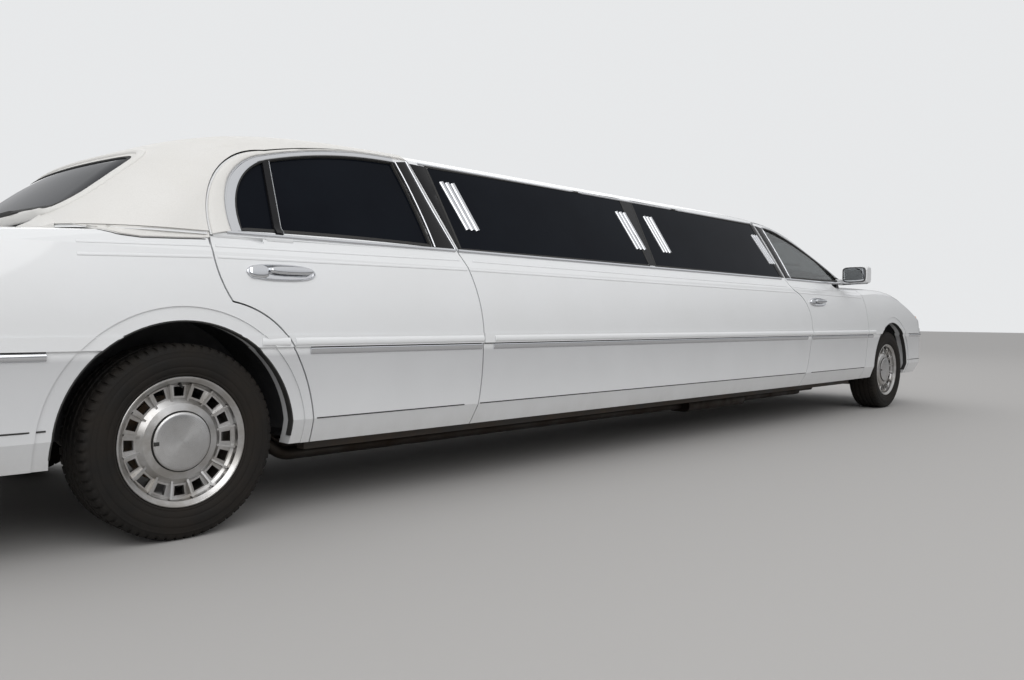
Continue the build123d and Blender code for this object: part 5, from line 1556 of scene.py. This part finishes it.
# %% Frames of the lamps
for name, end, side_x, inner_y, levels in (
    ("tail_lamps", -1.0, -4.250, 0.692, (0.7165, 0.7990, 0.8815)),
    ("headlamps", 1.0, 4.130, 0.324, (0.6985, 0.8015)),
):
    tree = skin_of(name)
    for side, side_name in SIDES:
        frame_piece = Shape()
        for level in levels:
            hits = corner_run(tree, level, end, side, side_x, inner_y)
            if len(hits) > 3:
                frame_piece.sweep(strip_rings(hits, 0.008, 0.004, lift=-0.001))
        frame_piece.piece(f"{name}_frame_{side_name}", "chrome", "body", 60.0)
    print(name, "frames at", levels)

# %% Reversing lamps
for side, side_name in SIDES:
    tree = skin_of("tail_lamps")
    rows = []
    for level in (0.7275, 0.7300, 0.7860, 0.7885):
        hits = [end_point(tree, side * y, level, -1.0) for y in (0.715, 0.735, 0.755, 0.775, 0.795)]
        if all(hits):
            lift = 0.0022 if 0.729 < level < 0.787 else -0.001
            rows.append([hit[0] + hit[1] * lift for hit in hits])
    if len(rows) == 4:
        count = len(rows[0])
        vertices = [vertex for row in rows for vertex in row]
        faces = [(r * count + c, r * count + c + 1, (r + 1) * count + c + 1, (r + 1) * count + c)
                 for r in range(3) for c in range(count - 1)]
        Shape().add(vertices, faces).piece(f"reversing_lamp_{side_name}", "lamp_clear", "body", 50.0)
print("reversing lamps on", len(rows), "levels")

# %% [markdown]
# ## Boot lid, number plates and filler flap
#
# Both plates are blank sheets in dark frames, held by two screws. The lid carries a bright strip
# above its plate. On the left rear quarter a fine joint shows the flap over the fuel filler.

# %% Plates and lid strip
def end_axes(tree, y, z, end):
    """A place on the nose or tail with its sideways, upward and outward directions."""
    place, normal = end_point(tree, y, z, end)
    sideways = Vector((0.0, 1.0, 0.0))
    sideways = (sideways - normal * sideways.dot(normal)).normalized()
    upward = normal.cross(sideways)
    if upward.z < 0:
        upward = -upward
    return place, sideways, upward, normal


tree, shader, position = start_finish("plate_enamel", (0.72, 0.72, 0.70), 0.35)
tone_mask = put_drift(tree, shader, position, (0.74, 0.74, 0.72), (0.66, 0.655, 0.63), Scale=14.0)
put_rough(tree, shader, tone_mask, 0.30, 0.48)
PLATES = (("rear", "boot_lid", "boot_lid", 0.800, -1.0), ("front", "front_bumper", "body", 0.545, 1.0))
HOLDER_STEPS = ((0.0, -0.006), (0.0, 0.008), (0.002, 0.010), (0.010, 0.010), (0.012, 0.005), (0.020, 0.004))
PLATE_STEPS = (
    (0.0, 0.0055), (0.0, 0.0072), (0.0010, 0.0080), (0.004, 0.0080), (0.006, 0.0072), (0.012, 0.0070),
)
SCREW_STEPS = ((0.0, 0.006), (0.0005, 0.0095), (0.003, 0.0105))
for name, node, body, z, end in PLATES:
    axes = end_axes(skin_of(node), 0.0, z, end)
    oval_piece(f"{name}_plate_holder", "trim_plastic", body, axes, 0.168, 0.084, HOLDER_STEPS,
               power=14.0, count=64)
    oval_piece(f"{name}_plate", "plate_enamel", body, axes, 0.1525, 0.0762, PLATE_STEPS, power=12.0, count=64)
    screws = Shape()
    for u in (-0.089, 0.089):
        screws.sweep(oval_rings(axes, (u, 0.060), 0.006, 0.006, SCREW_STEPS, power=2.0, count=16))
    screws.piece(f"{name}_plate_screws", "chrome", body, 40.0)
lid_path = run_between((-0.60, 0.892), (0.60, 0.892), 0.05)
Shape().sweep(end_rings(lid_path, skin_of("boot_lid"), -1.0, 0.022, 0.008, lift=-0.001)).piece(
    "boot_lid_strip", "chrome", "boot_lid", 60.0)
flap_axes = surface_axes(skin_of("rear_quarter_left"), -3.520, 0.820, 1)
FLAP_STEPS = ((-0.0012, -0.001), (-0.0012, 0.0006), (0.0012, 0.0006), (0.0012, -0.001))
oval_piece("filler_flap_joint", "rubber_seal", "body", flap_axes, 0.085, 0.075, FLAP_STEPS, power=9.0, count=56,
           caps=False, closed=True)
print("plates, lid strip and filler flap done")

# %% [markdown]
# ## Mirrors
#
# The housing is part of the CAD door. The glass lies in a dark recess on its rear face, and a
# rubber gasket closes the foot against the door.

# %% Mirror glasses
tree, shader, position = start_finish("mirror_silver", (0.62, 0.64, 0.66), 0.02, 1.0)
film_and_shade_mask = put_drift(tree, shader, position, (0.62, 0.64, 0.66), (0.58, 0.60, 0.61), Scale=9.0)
put_rough(tree, shader, film_and_shade_mask, 0.015, 0.05)
ACROSS, FORWARD, UP = (0.0, 1.0, 0.0), (1.0, 0.0, 0.0), (0.0, 0.0, 1.0)
RIM_STEPS = (
    (0.0, -0.006), (0.0, 0.0010), (0.0015, 0.0030), (0.0060, 0.0030), (0.0080, 0.0012), (0.0120, 0.0010),
)
SILVER_STEPS = ((0.0, 0.0005), (0.0006, 0.0018), (0.0030, 0.0022), (0.0200, 0.0024))
GASKET_STEPS = ((0.0, -0.006), (0.0, 0.002), (0.003, 0.004), (0.006, 0.002))
for side, side_name in SIDES:
    door = f"front_door_{side_name}"
    axes = (Vector((2.214, side * 1.060, 1.104)), Vector(ACROSS), Vector(UP), -Vector(FORWARD))
    oval_piece(f"mirror_rim_{side_name}", "trim_plastic", door, axes, 0.0890, 0.0580, RIM_STEPS,
               power=5.0, count=56)
    oval_piece(f"mirror_glass_{side_name}", "mirror_silver", door, axes, 0.0815, 0.0505, SILVER_STEPS, 30.0,
               power=5.0, count=56)
    foot_axes = (Vector((2.312, side * 0.940, 1.0405)), Vector(FORWARD), Vector(ACROSS), Vector(UP))
    oval_piece(f"mirror_gasket_{side_name}", "rubber_seal", door, foot_axes, 0.064, 0.050, GASKET_STEPS,
               power=5.0, count=40, caps=False)
print("mirrors dressed")

# %% [markdown]
# The foot of the windscreen stands in a black plastic cover that reaches down to the cowl. The
# wiper arms come out of it. The cover is a row of points along the cut of the glass, joined to a
# row of points on the cowl. In front, a painted header panel closes the wedge between the bonnet's
# front edge and each wing, above the lamps; it is swept between the two edges in the same way.

# %% Cowl cover and wipers
upper_tree = skin_of("windshield", "roof")
cowl_tree = skin_of("cowl", "front_fender_left", "front_fender_right", "hood")
COVER_HALF_WIDTH, COVER_TOP_X, COVER_FOOT_X = 0.80, 2.503, 2.555
cover_rings = []
for y in spaced(-COVER_HALF_WIDTH, COVER_HALF_WIDTH, 0.04):
    top = drop_point(upper_tree, COVER_TOP_X - 0.0065, y)
    foot = drop_point(cowl_tree, COVER_FOOT_X - 0.002, y)
    if top is None or foot is None or top.z < foot.z + 0.004:
        continue
    high, low = Vector((COVER_TOP_X, y, top.z + 0.001)), Vector((COVER_FOOT_X, y, foot.z + 0.002))
    middle = (high + low) / 2 + Vector((0.008, 0.0, 0.006))
    cover_rings.append([
        high + Vector((-0.012, 0.0, 0.003)), high + Vector((0.002, 0.0, 0.002)), middle, low,
        low + Vector((0.003, 0.0, -0.006)), Vector((2.506, y, foot.z - 0.004)),
        Vector((2.502, y, top.z - 0.008)),
    ])
Shape().sweep(cover_rings).piece("cowl_cover", "trim_plastic", "body", 40.0)
HEADER_INNER, HEADER_OUTER = 0.400, 0.6475
hood_tree, nose_tree = skin_of("hood"), skin_of("front_fender_left", "front_fender_right")
for side, side_name in SIDES:
    header_rings = []
    for y in spaced(HEADER_INNER, HEADER_OUTER, 0.0099):
        rear_x, front_x = 4.2085 - 0.396 * (y - HEADER_INNER), 4.2140 - 0.206 * (y - HEADER_INNER)
        behind = drop_point(hood_tree, rear_x - 0.012, side * y)
        ahead = drop_point(nose_tree, front_x + 0.010, side * y)
        if behind is None or ahead is None:
            continue
        slope = (ahead.z - behind.z) / (ahead.x - behind.x)
        rear_z, front_z = behind.z + slope * 0.012, ahead.z - slope * 0.010
        header_rings.append([
            Vector((x, side * y, z - down))
            for x, z, down in (
                (rear_x, rear_z, 0.0012), (rear_x + 0.001, rear_z, 0.0002), (front_x, front_z, -0.0002),
                (front_x + 0.002, front_z, 0.0030), (rear_x, rear_z, 0.0040))
        ])
    Shape().sweep(header_rings).piece(f"lamp_header_{side_name}", "white_paint", "body", 40.0)
glass_tree = skin_of("windshield")


def lowest_on_glass(y):
    """The lowest height at which the windscreen is met at a place across the car."""
    for step in range(60):
        z = 1.095 + 0.004 * step
        if end_point(glass_tree, y, z, 1.0):
            return z
    return None


for name, heel_y, tip_y in (("wiper_left", 0.66, 0.10), ("wiper_right", 0.04, -0.52)):
    path = []
    for step in range(15):
        y = heel_y + (tip_y - heel_y) * step / 14
        z = lowest_on_glass(y)
        if z:
            path.append((y, z + 0.016 + 0.030 * step / 14))
    Shape().sweep(end_rings(path, glass_tree, 1.0, 0.007, 0.013, FLAT, False, 0.003)).piece(
        f"{name}_blade", "rubber_seal", "body", 40.0)
    arm_path = [(y, z - 0.006) for y, z in path[:8]]
    Shape().sweep(end_rings(arm_path, glass_tree, 1.0, 0.012, 0.008, lift=0.014)).piece(
        f"{name}_arm", "pillar_black", "body", 50.0)
print("cowl cover rings", len(cover_rings))

# %% [markdown]
# ## Cushions
#
# A cushion is never a box. Foam under leather pushes the cover outwards, the seams pull it back,
# and a cord runs round the edge where the top meets the sides. Each cushion here starts as a
# rounded block with a fine grid on all faces. Its face is then raised in the middle and pressed in
# along the seams, and a thin cord is swept round its edge.

# %% Making one cushion
SEAM_DEPTH, SEAM_HALF_WIDTH = 0.011, 0.007
CORD_POINTS, CUSHION_GRID = 72, 26


def cushion(name, centre, ways, half, body, channels=(), crown=0.018, across=(), radius=0.045, cord=0.0045):
    """A rounded block with a crowned face towards its third way, seams and a cord round the edge."""
    across_way, along_way, out_way = (Vector(way).normalized() for way in ways)
    centre = Vector(centre)
    hx, hy, hz = half
    radius = min(radius, hx * 0.9, hy * 0.9, hz * 0.9)
    shape = Shape()

    def placed(q):
        inner = Vector(tuple(max(-(h - radius), min(h - radius, c)) for c, h in zip(q, half)))
        offset = Vector(q) - inner
        point = inner + (offset.normalized() * radius if offset.length > 1e-9 else offset)
        if q[2] > 0:
            share = max(0.0, (point.z + hz * 0.2) / (hz * 1.2))
            rise = crown * (1 - (point.x / hx) ** 2) * (1 - (point.y / hy) ** 2)
            for place in channels:
                rise -= SEAM_DEPTH * math.exp(-(((point.x / hx) - place) * hx / SEAM_HALF_WIDTH) ** 2)
                rise += 0.006 * math.exp(-((abs((point.x / hx) - place) * hx - 0.035) / 0.022) ** 2)
            for place in across:
                rise -= SEAM_DEPTH * math.exp(-(((point.y / hy) - place) * hy / SEAM_HALF_WIDTH) ** 2)
            rise += 0.0012 * math.sin(point.x * 61.0 + point.y * 37.0) * math.sin(point.y * 53.0)
            point.z += rise * share
        return centre + across_way * point.x + along_way * point.y + out_way * point.z

    grid = CUSHION_GRID
    evenly = [2 * i / grid - 1 for i in range(grid + 1)]
    steps = [math.sin(math.pi / 2 * share) * 0.35 + share * 0.65 for share in evenly]
    for fixed in range(3):
        first, second = [k for k in range(3) if k != fixed]
        for end in (-1.0, 1.0):
            vertices, faces = [], []
            for a in steps:
                for b in steps:
                    q = [0.0, 0.0, 0.0]
                    q[fixed], q[first], q[second] = end * half[fixed], a * half[first], b * half[second]
                    vertices.append(placed(q))
            size = grid + 1
            for i in range(grid):
                for j in range(grid):
                    faces.append((i * size + j, (i + 1) * size + j, (i + 1) * size + j + 1, i * size + j + 1))
            shape.add(vertices, faces)
    if cord:
        rings = []
        corner = radius * 0.6
        for angle in turns(CORD_POINTS):
            c, s = math.cos(angle), math.sin(angle)
            x = (hx - corner * 0.25) * math.copysign(abs(c) ** 0.28, c)
            y = (hy - corner * 0.25) * math.copysign(abs(s) ** 0.28, s)
            base = centre + across_way * x + along_way * y + out_way * (hz - radius * 0.55)
            outward = (across_way * x / hx + along_way * y / hy).normalized()
            rings.append([
                base + outward * (cord * math.cos(t)) + out_way * (cord * math.sin(t))
                for t in turns(6)
            ])
        shape.sweep(rings, closed=True)
    piece = shape.piece(name, "seat_leather", body, 70.0)
    return piece


def leaning(angle):
    """The upward and forward directions of a back that leans to the rear by an angle in degrees."""
    a = math.radians(angle)
    return (-math.sin(a), 0.0, math.cos(a)), (math.cos(a), 0.0, math.sin(a))


# %% Front seats
front_pieces = []
back_up, back_out = leaning(7.5)
PLINTH_STEPS = ((0.0, 0.0), (0.0, 0.010), (0.020, 0.016), (0.035, 0.060), (0.030, 0.082))
POST_PROFILE = ((0.0, 0.006), (0.070, 0.006), (0.070, 0.0004))
flat_ways, back_ways = (ACROSS, FORWARD, UP), (ACROSS, back_up, back_out)
for side, side_name in SIDES:
    y = side * 0.375
    for label, x, z, ways, half, channels, crossing, crown in (
        ("seat_cushion", 1.440, 0.410, flat_ways, (0.262, 0.255, 0.070), (-0.55, -0.2, 0.2, 0.55), (), 0.020),
        ("seat_back", 1.208, 0.700, back_ways, (0.255, 0.262, 0.060), (-0.5, 0.5), (-0.45, 0.1, 0.6), 0.016),
        ("head_rest", 1.146, 1.030, back_ways, (0.135, 0.068, 0.050), (), (), 0.012),
    ):
        name = f"{label}_{side_name}"
        front_pieces.append(cushion(name, (x, y, z), ways, half, "body", channels, crown, crossing))
    plinth_axes = (Vector((1.430, y, 0.2630)), Vector(FORWARD), Vector(ACROSS), Vector(UP))
    oval_piece(f"seat_plinth_{side_name}", "trim_plastic", "body", plinth_axes, 0.215, 0.200, PLINTH_STEPS,
               power=8.0, count=56)
    posts = Shape()
    for offset in (-0.055, 0.055):
        posts.turned(POST_PROFILE, (1.170, y + offset, 0.930), back_up, ACROSS, 16, False)
    posts.piece(f"head_rest_posts_{side_name}", "chrome", "body", 40.0)
arm_rest_half = (0.085, 0.190, 0.050)
front_pieces.append(cushion(
    "centre_arm_rest", (1.430, 0.0, 0.440), flat_ways, arm_rest_half, "body", (), 0.008))
for piece in front_pieces:
    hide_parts("front_seats")
print("front seat pieces", len(front_pieces))

# %% Rear seat
rear_pieces = []
rear_up, rear_out = leaning(17.5)
for number, y in enumerate((-0.475, 0.0, 0.475)):
    rear_pieces.append(cushion(
        f"rear_cushion_{number}", (-2.150, y, 0.462), (ACROSS, FORWARD, (0.06, 0.0, 1.0)),
        (0.232, 0.255, 0.062), "body", (-0.5, 0.0, 0.5), 0.022))
    rear_pieces.append(cushion(
        f"rear_back_{number}", (-2.500, y, 0.775), (ACROSS, rear_up, rear_out), (0.232, 0.285, 0.055),
        "body", (-0.33, 0.33), 0.018, (-0.2, 0.4)))
SKIRT_REAR, SKIRT_FRONT = -2.400, -1.895
SEAT_SKIRT_STEPS = ((0.0, 0.0), (0.0, 0.020), (0.006, 0.026), (0.010, 0.125), (0.020, 0.140))
axes = (Vector(((SKIRT_REAR + SKIRT_FRONT) / 2, 0.0, 0.2635)), Vector(FORWARD), Vector(ACROSS), Vector(UP))
rear_pieces.append(oval_piece(
    "rear_seat_skirt", "seat_leather", "body", axes, (SKIRT_FRONT - SKIRT_REAR) / 2, 0.699, SEAT_SKIRT_STEPS,
    50.0, power=20.0, count=80))
for piece in rear_pieces:
    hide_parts("rear_seat")
print("rear seat pieces", len(rear_pieces))

# %% Side bench
bench_pieces = []
BENCH_REAR, BENCH_LENGTH, BENCH_PLACES = -1.450, 2.150, 4
for number in range(BENCH_PLACES):
    x = BENCH_REAR + BENCH_LENGTH * (number + 0.5) / BENCH_PLACES
    bench_pieces.append(cushion(
        f"bench_cushion_{number}", (x, 0.575, 0.395), (FORWARD, ACROSS, UP), (0.264, 0.178, 0.058),
        "body", (-0.5, 0.0, 0.5), 0.020))
    bench_pieces.append(cushion(
        f"bench_back_{number}", (x, 0.760, 0.690), (FORWARD, UP, (0.0, -1.0, 0.0)), (0.264, 0.205, 0.050),
        "body", (-0.33, 0.33), 0.016, (0.1,)))
BENCH_PLINTH_STEPS = ((0.0, 0.0), (0.0, 0.016), (0.012, 0.022), (0.016, 0.076), (0.030, 0.082))
axes = (Vector((-0.375, 0.590, 0.2635)), Vector(FORWARD), Vector(ACROSS), Vector(UP))
bench_pieces.append(oval_piece(
    "bench_plinth", "trim_plastic", "body", axes, 1.072, 0.186, BENCH_PLINTH_STEPS, power=20.0, count=80))
for piece in bench_pieces:
    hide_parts("side_bench")
print("bench pieces", len(bench_pieces))

# %% [markdown]
# ## Floor covering, head lining and dashboard
#
# Deep carpet hides the floor pan, a pale cloth the roof. Both are sheets that follow the CAD
# surface at a small distance. On the dashboard sit a hood over the instruments, round air vents
# and a radio with plain keys. The steering wheel gets a leather rim with a stitched seam.

# %% Carpet and head lining
tree, shader, position = start_finish("head_lining", (0.50, 0.49, 0.47), 0.95)
weave = put_group(tree, grain_group, position, Pebbles_Per_Metre=1500.0)
tone_mask = put_drift(tree, shader, position, (0.52, 0.51, 0.49), (0.46, 0.45, 0.43), Scale=10.0)
put_bump(tree, shader, weave.outputs["Height"], 0.0004, 0.6)
put_rough(tree, shader, tone_mask, 0.88, 0.97)


def sheet(name, finish, tree, xs, ys, start_z, way, gap, thickness=0.0015):
    """A closed thin sheet along the surface that upright rays meet."""
    grid = []
    for x in xs:
        row = []
        for y in ys:
            place, _, _, _ = tree.ray_cast(Vector((x, y, start_z)), Vector((0.0, 0.0, way)), 1.5)
            row.append(None if place is None else place.z - way * gap)
        grid.append(row)
    vertices, faces, index = [], [], {}
    for i, x in enumerate(xs):
        for j, y in enumerate(ys):
            if grid[i][j] is not None:
                index[i, j] = len(vertices)
                vertices.append((x, y, grid[i][j]))
                vertices.append((x, y, grid[i][j] + way * thickness))
    for i in range(len(xs) - 1):
        for j in range(len(ys) - 1):
            keys = ((i, j), (i + 1, j), (i + 1, j + 1), (i, j + 1))
            if all(key in index for key in keys):
                if max(grid[a][b] for a, b in keys) - min(grid[a][b] for a, b in keys) < 0.30:
                    faces.append(tuple(index[key] for key in keys))
                    faces.append(tuple(index[key] + 1 for key in reversed(keys)))
    return mesh_object(name, vertices, faces, finish, "body", 40.0)


floor_tree, roof_tree = skin_of("floor_pan"), skin_of("roof")
for name, finish, tree, xs, ys, start_z, way, gap in (
    ("carpet_cabin", "carpet", floor_tree, (-1.885, 2.210, 0.05), (-0.775, 0.775, 0.031), 0.60, -1.0, 0.0012),
    ("carpet_boot", "carpet", floor_tree, (-4.180, -2.900, 0.05), (-0.620, 0.620, 0.05), 0.80, -1.0, 0.0012),
    ("head_lining", "head_lining", roof_tree, (-2.700, 1.780, 0.07), (-0.585, 0.585, 0.045), 1.20, 1.0, 0.004),
):
    sheet(name, finish, tree, spaced(*xs), spaced(*ys), start_z, way, gap)
print("floor and roof lined")

# %% Dashboard details
def round_box(shape, centre, half, ways=(FORWARD, ACROSS, UP), inset=0.006, power=7.0):
    """Add a box with rounded edges to a shape."""
    first, second, third = (Vector(way).normalized() for way in ways)
    axes = (Vector(centre) - third * half[2], first, second, third)
    height = 2 * half[2]
    steps = (
        (inset, 0.0), (inset * 0.3, inset * 0.3), (0.0, inset), (0.0, height - inset),
        (inset * 0.3, height - inset * 0.3), (inset, height),
    )
    shape.sweep(oval_rings(axes, (0.0, 0.0), half[0], half[1], steps, power=power, count=40))


cluster = Shape()
round_box(cluster, (2.170, 0.372, 0.968), (0.090, 0.190, 0.030))
round_box(cluster, (2.135, -0.350, 0.915), (0.012, 0.200, 0.020), inset=0.004)
cluster.piece("instrument_hood", "trim_plastic", "body", 40.0)
face_out = Vector((-0.92, 0.0, -0.17)).normalized()
face_up = Vector((-0.18, 0.0, 0.98)).normalized()
face_ways = (ACROSS, face_up, face_out)
VENT_PROFILE = ((0.0, 0.042), (0.010, 0.042), (0.014, 0.038), (0.010, 0.035), (0.002, 0.034))
BLADE_SECTION = ((0.0, -0.001), (0.0, 0.001), (0.004, 0.001), (0.004, -0.001))
vents, blades = Shape(), Shape()
for y in (-0.700, -0.210, 0.120, 0.650):
    vent_centre = Vector((2.134, y, 0.868))
    vents.turned(VENT_PROFILE, vent_centre, (-1.0, 0.0, 0.12), ACROSS, 32, True)
    for k in range(-2, 3):
        blades.sweep([
            [vent_centre + Vector((-0.004 - dx, across, k * 0.012 + dz)) for dx, dz in BLADE_SECTION]
            for across in (-0.028, 0.028)
        ])
vents.piece("air_vents", "trim_plastic", "body", 40.0)
blades.piece("vent_blades", "pillar_black", "body", 30.0)
radio = Shape()
round_box(radio, (2.140, -0.045, 0.828), (0.100, 0.045, 0.010), face_ways, inset=0.003, power=9.0)
for k in range(6):
    key_centre = (2.133, -0.110 + 0.026 * k, 0.805)
    round_box(radio, key_centre, (0.010, 0.006, 0.004), face_ways, inset=0.0015, power=5.0)
radio.piece("radio", "pillar_black", "body", 35.0)
DIAL_PROFILE = ((0.0, 0.040), (0.006, 0.040), (0.008, 0.037), (0.003, 0.035))
dials = Shape()
for y in (0.275, 0.372, 0.469):
    dials.turned(DIAL_PROFILE, (2.120, y, 0.945), (-1.0, 0.0, 0.15), ACROSS, 32, True)
dials.piece("dial_rings", "chrome", "body", 40.0)
print("dashboard dressed")

# %% Steering wheel rim and horn pad
RIM_RADIUS, RIM_THICKNESS, STITCHES = 0.178, 0.0163, 120
tilt = math.radians(25)
wheel_axis = Vector((-math.cos(tilt), 0.0, math.sin(tilt)))
wheel_up = Vector((math.sin(tilt), 0.0, math.cos(tilt)))
wheel_middle = Vector((1.880, 0.372, 0.925))
rings = []
for angle in turns(96):
    out = Vector(ACROSS) * math.cos(angle) + wheel_up * math.sin(angle)
    thickness = RIM_THICKNESS + 0.0004 * math.sin(angle * 40)
    rings.append([
        wheel_middle + out * (RIM_RADIUS + thickness * math.cos(t)) + wheel_axis * (thickness * math.sin(t))
        for t in turns(14)
    ])
Shape().sweep(rings, closed=True).piece("steering_rim_leather", "seat_leather", "steering_wheel", 60.0)
STITCH_SECTION = ((-0.0008, 0.0), (0.0008, 0.0), (0.0008, -0.001), (-0.0008, -0.001))
stitch = Shape()
for angle in turns(STITCHES):
    out = Vector(ACROSS) * math.cos(angle) + wheel_up * math.sin(angle)
    way = Vector(ACROSS) * -math.sin(angle) + wheel_up * math.cos(angle)
    at = wheel_middle + out * (RIM_RADIUS - 0.0166)
    stitch.sweep([
        [at + way * along + wheel_axis * a + out * b for a, b in STITCH_SECTION] for along in (-0.0022, 0.0022)
    ])
stitch.piece("steering_rim_stitches", "head_lining", "steering_wheel", 30.0)
pad_axes = (wheel_middle, Vector(ACROSS), wheel_up, wheel_axis)
HORN_STEPS = ((0.0, -0.004), (0.0, 0.006), (0.004, 0.012), (0.014, 0.017), (0.030, 0.0195))
oval_piece("horn_pad", "seat_leather", "steering_wheel", pad_axes, 0.075, 0.058, HORN_STEPS, 50.0, power=3.2)
print("steering wheel dressed")

# %% [markdown]
# ## Inner door trims
#
# A moulded panel covers the inside of each door, with a padded arm rest, a bright pull and a pocket
# at the foot. The panel is swept from rear to front. At each place rays from inside the cabin find
# how high and how low the door's inner face reaches, so the panel follows the door's outline.

# %% Trims, arm rests and pulls
def inner_point(tree, x, z, side):
    """Where a ray from the middle of the cabin meets the inner face of a door."""
    place, _, _, _ = tree.ray_cast(Vector((x, side * 0.30, z)), Vector((0.0, side, 0.0)), 1.0)
    return place


def trim_height(share, along):
    """How far the panel stands off, from its foot (0) to its top (1)."""
    pocket = 0.016 * math.exp(-((share - 0.14) / 0.09) ** 4)
    shelf = 0.020 * math.exp(-((share - 0.60) / 0.10) ** 4)
    groove = -0.004 * sum(math.exp(-((share - place) / 0.012) ** 2) for place in (0.36, 0.84))
    edge = min(1.0, min(along, 1 - along) / 0.03, min(share, 1 - share) / 0.03)
    return (0.007 + pocket + shelf + groove) * math.sqrt(max(edge, 0.02))


for side, side_name in SIDES:
    for row, first_x, last_x in (("rear", -2.720, -1.700), ("front", 1.500, 2.620)):
        door = f"{row}_door_{side_name}"
        tree = skin_of(door)
        rings, spans = [], []
        stations = run_between((first_x, 0.0), (last_x, 0.0), 0.022)
        for index, (x, _) in enumerate(stations):
            found = [(z, inner_point(tree, x, z, side)) for z in (0.340 + 0.01 * k for k in range(66))]
            found = [(z, place) for z, place in found if place is not None and 0.80 < abs(place.y) < 0.93]
            if len(found) < 30:
                continue
            low_z, high_z = found[0][0] + 0.018, min(found[-1][0] - 0.014, 0.985)
            along = index / (len(stations) - 1)
            front_face, back_face = [], []
            for k in range(34):
                share = k / 33
                z = low_z + (high_z - low_z) * share
                place = inner_point(tree, x, z, side)
                if place is None or not 0.80 < abs(place.y) < 0.93:
                    place = min(found, key=lambda item: abs(item[0] - z))[1]
                place = Vector((x, place.y, z))
                front_face.append(place - Vector((0.0, side * trim_height(share, along), 0.0)))
                back_face.append(place - Vector((0.0, side * 0.0004, 0.0)))
            rings.append(front_face + back_face[::-1])
            spans.append((x, low_z, high_z, front_face))
        if len(rings) < 10:
            print("no trim for", door, len(rings))
            continue
        Shape().sweep(rings).piece(f"door_trim_{row}_{side_name}", "trim_plastic", door, 50.0)
        middle = spans[len(spans) // 2]
        rest_z = 0.700
        rest_y = min(abs(point.y) for point in middle[3])
        half_long = 0.20 if row == "rear" else 0.23
        cushion(f"arm_rest_{row}_{side_name}", (middle[0], side * (rest_y - 0.008), rest_z),
                          (FORWARD, ACROSS, UP), (half_long, 0.026, 0.028), door, (), 0.003, radius=0.022,
                          cord=0.0)
        level = rest_z + 0.105
        start = Vector((middle[0] + 0.05, side * (rest_y + 0.004), level))
        Shape().sweep([
            [start + Vector(
            (0.12 * share, -side * 0.024 * math.sin(math.pi * share), 0.010 * math.sin(t))) + Vector(
                (0.0, side * 0.005 * math.cos(t), 0.0)) for t in turns(10)]
            for share in (step / 16 for step in range(17))
        ]).piece(
            f"door_pull_{row}_{side_name}", "chrome", door, 60.0)
        print(door, "trim rings", len(rings))
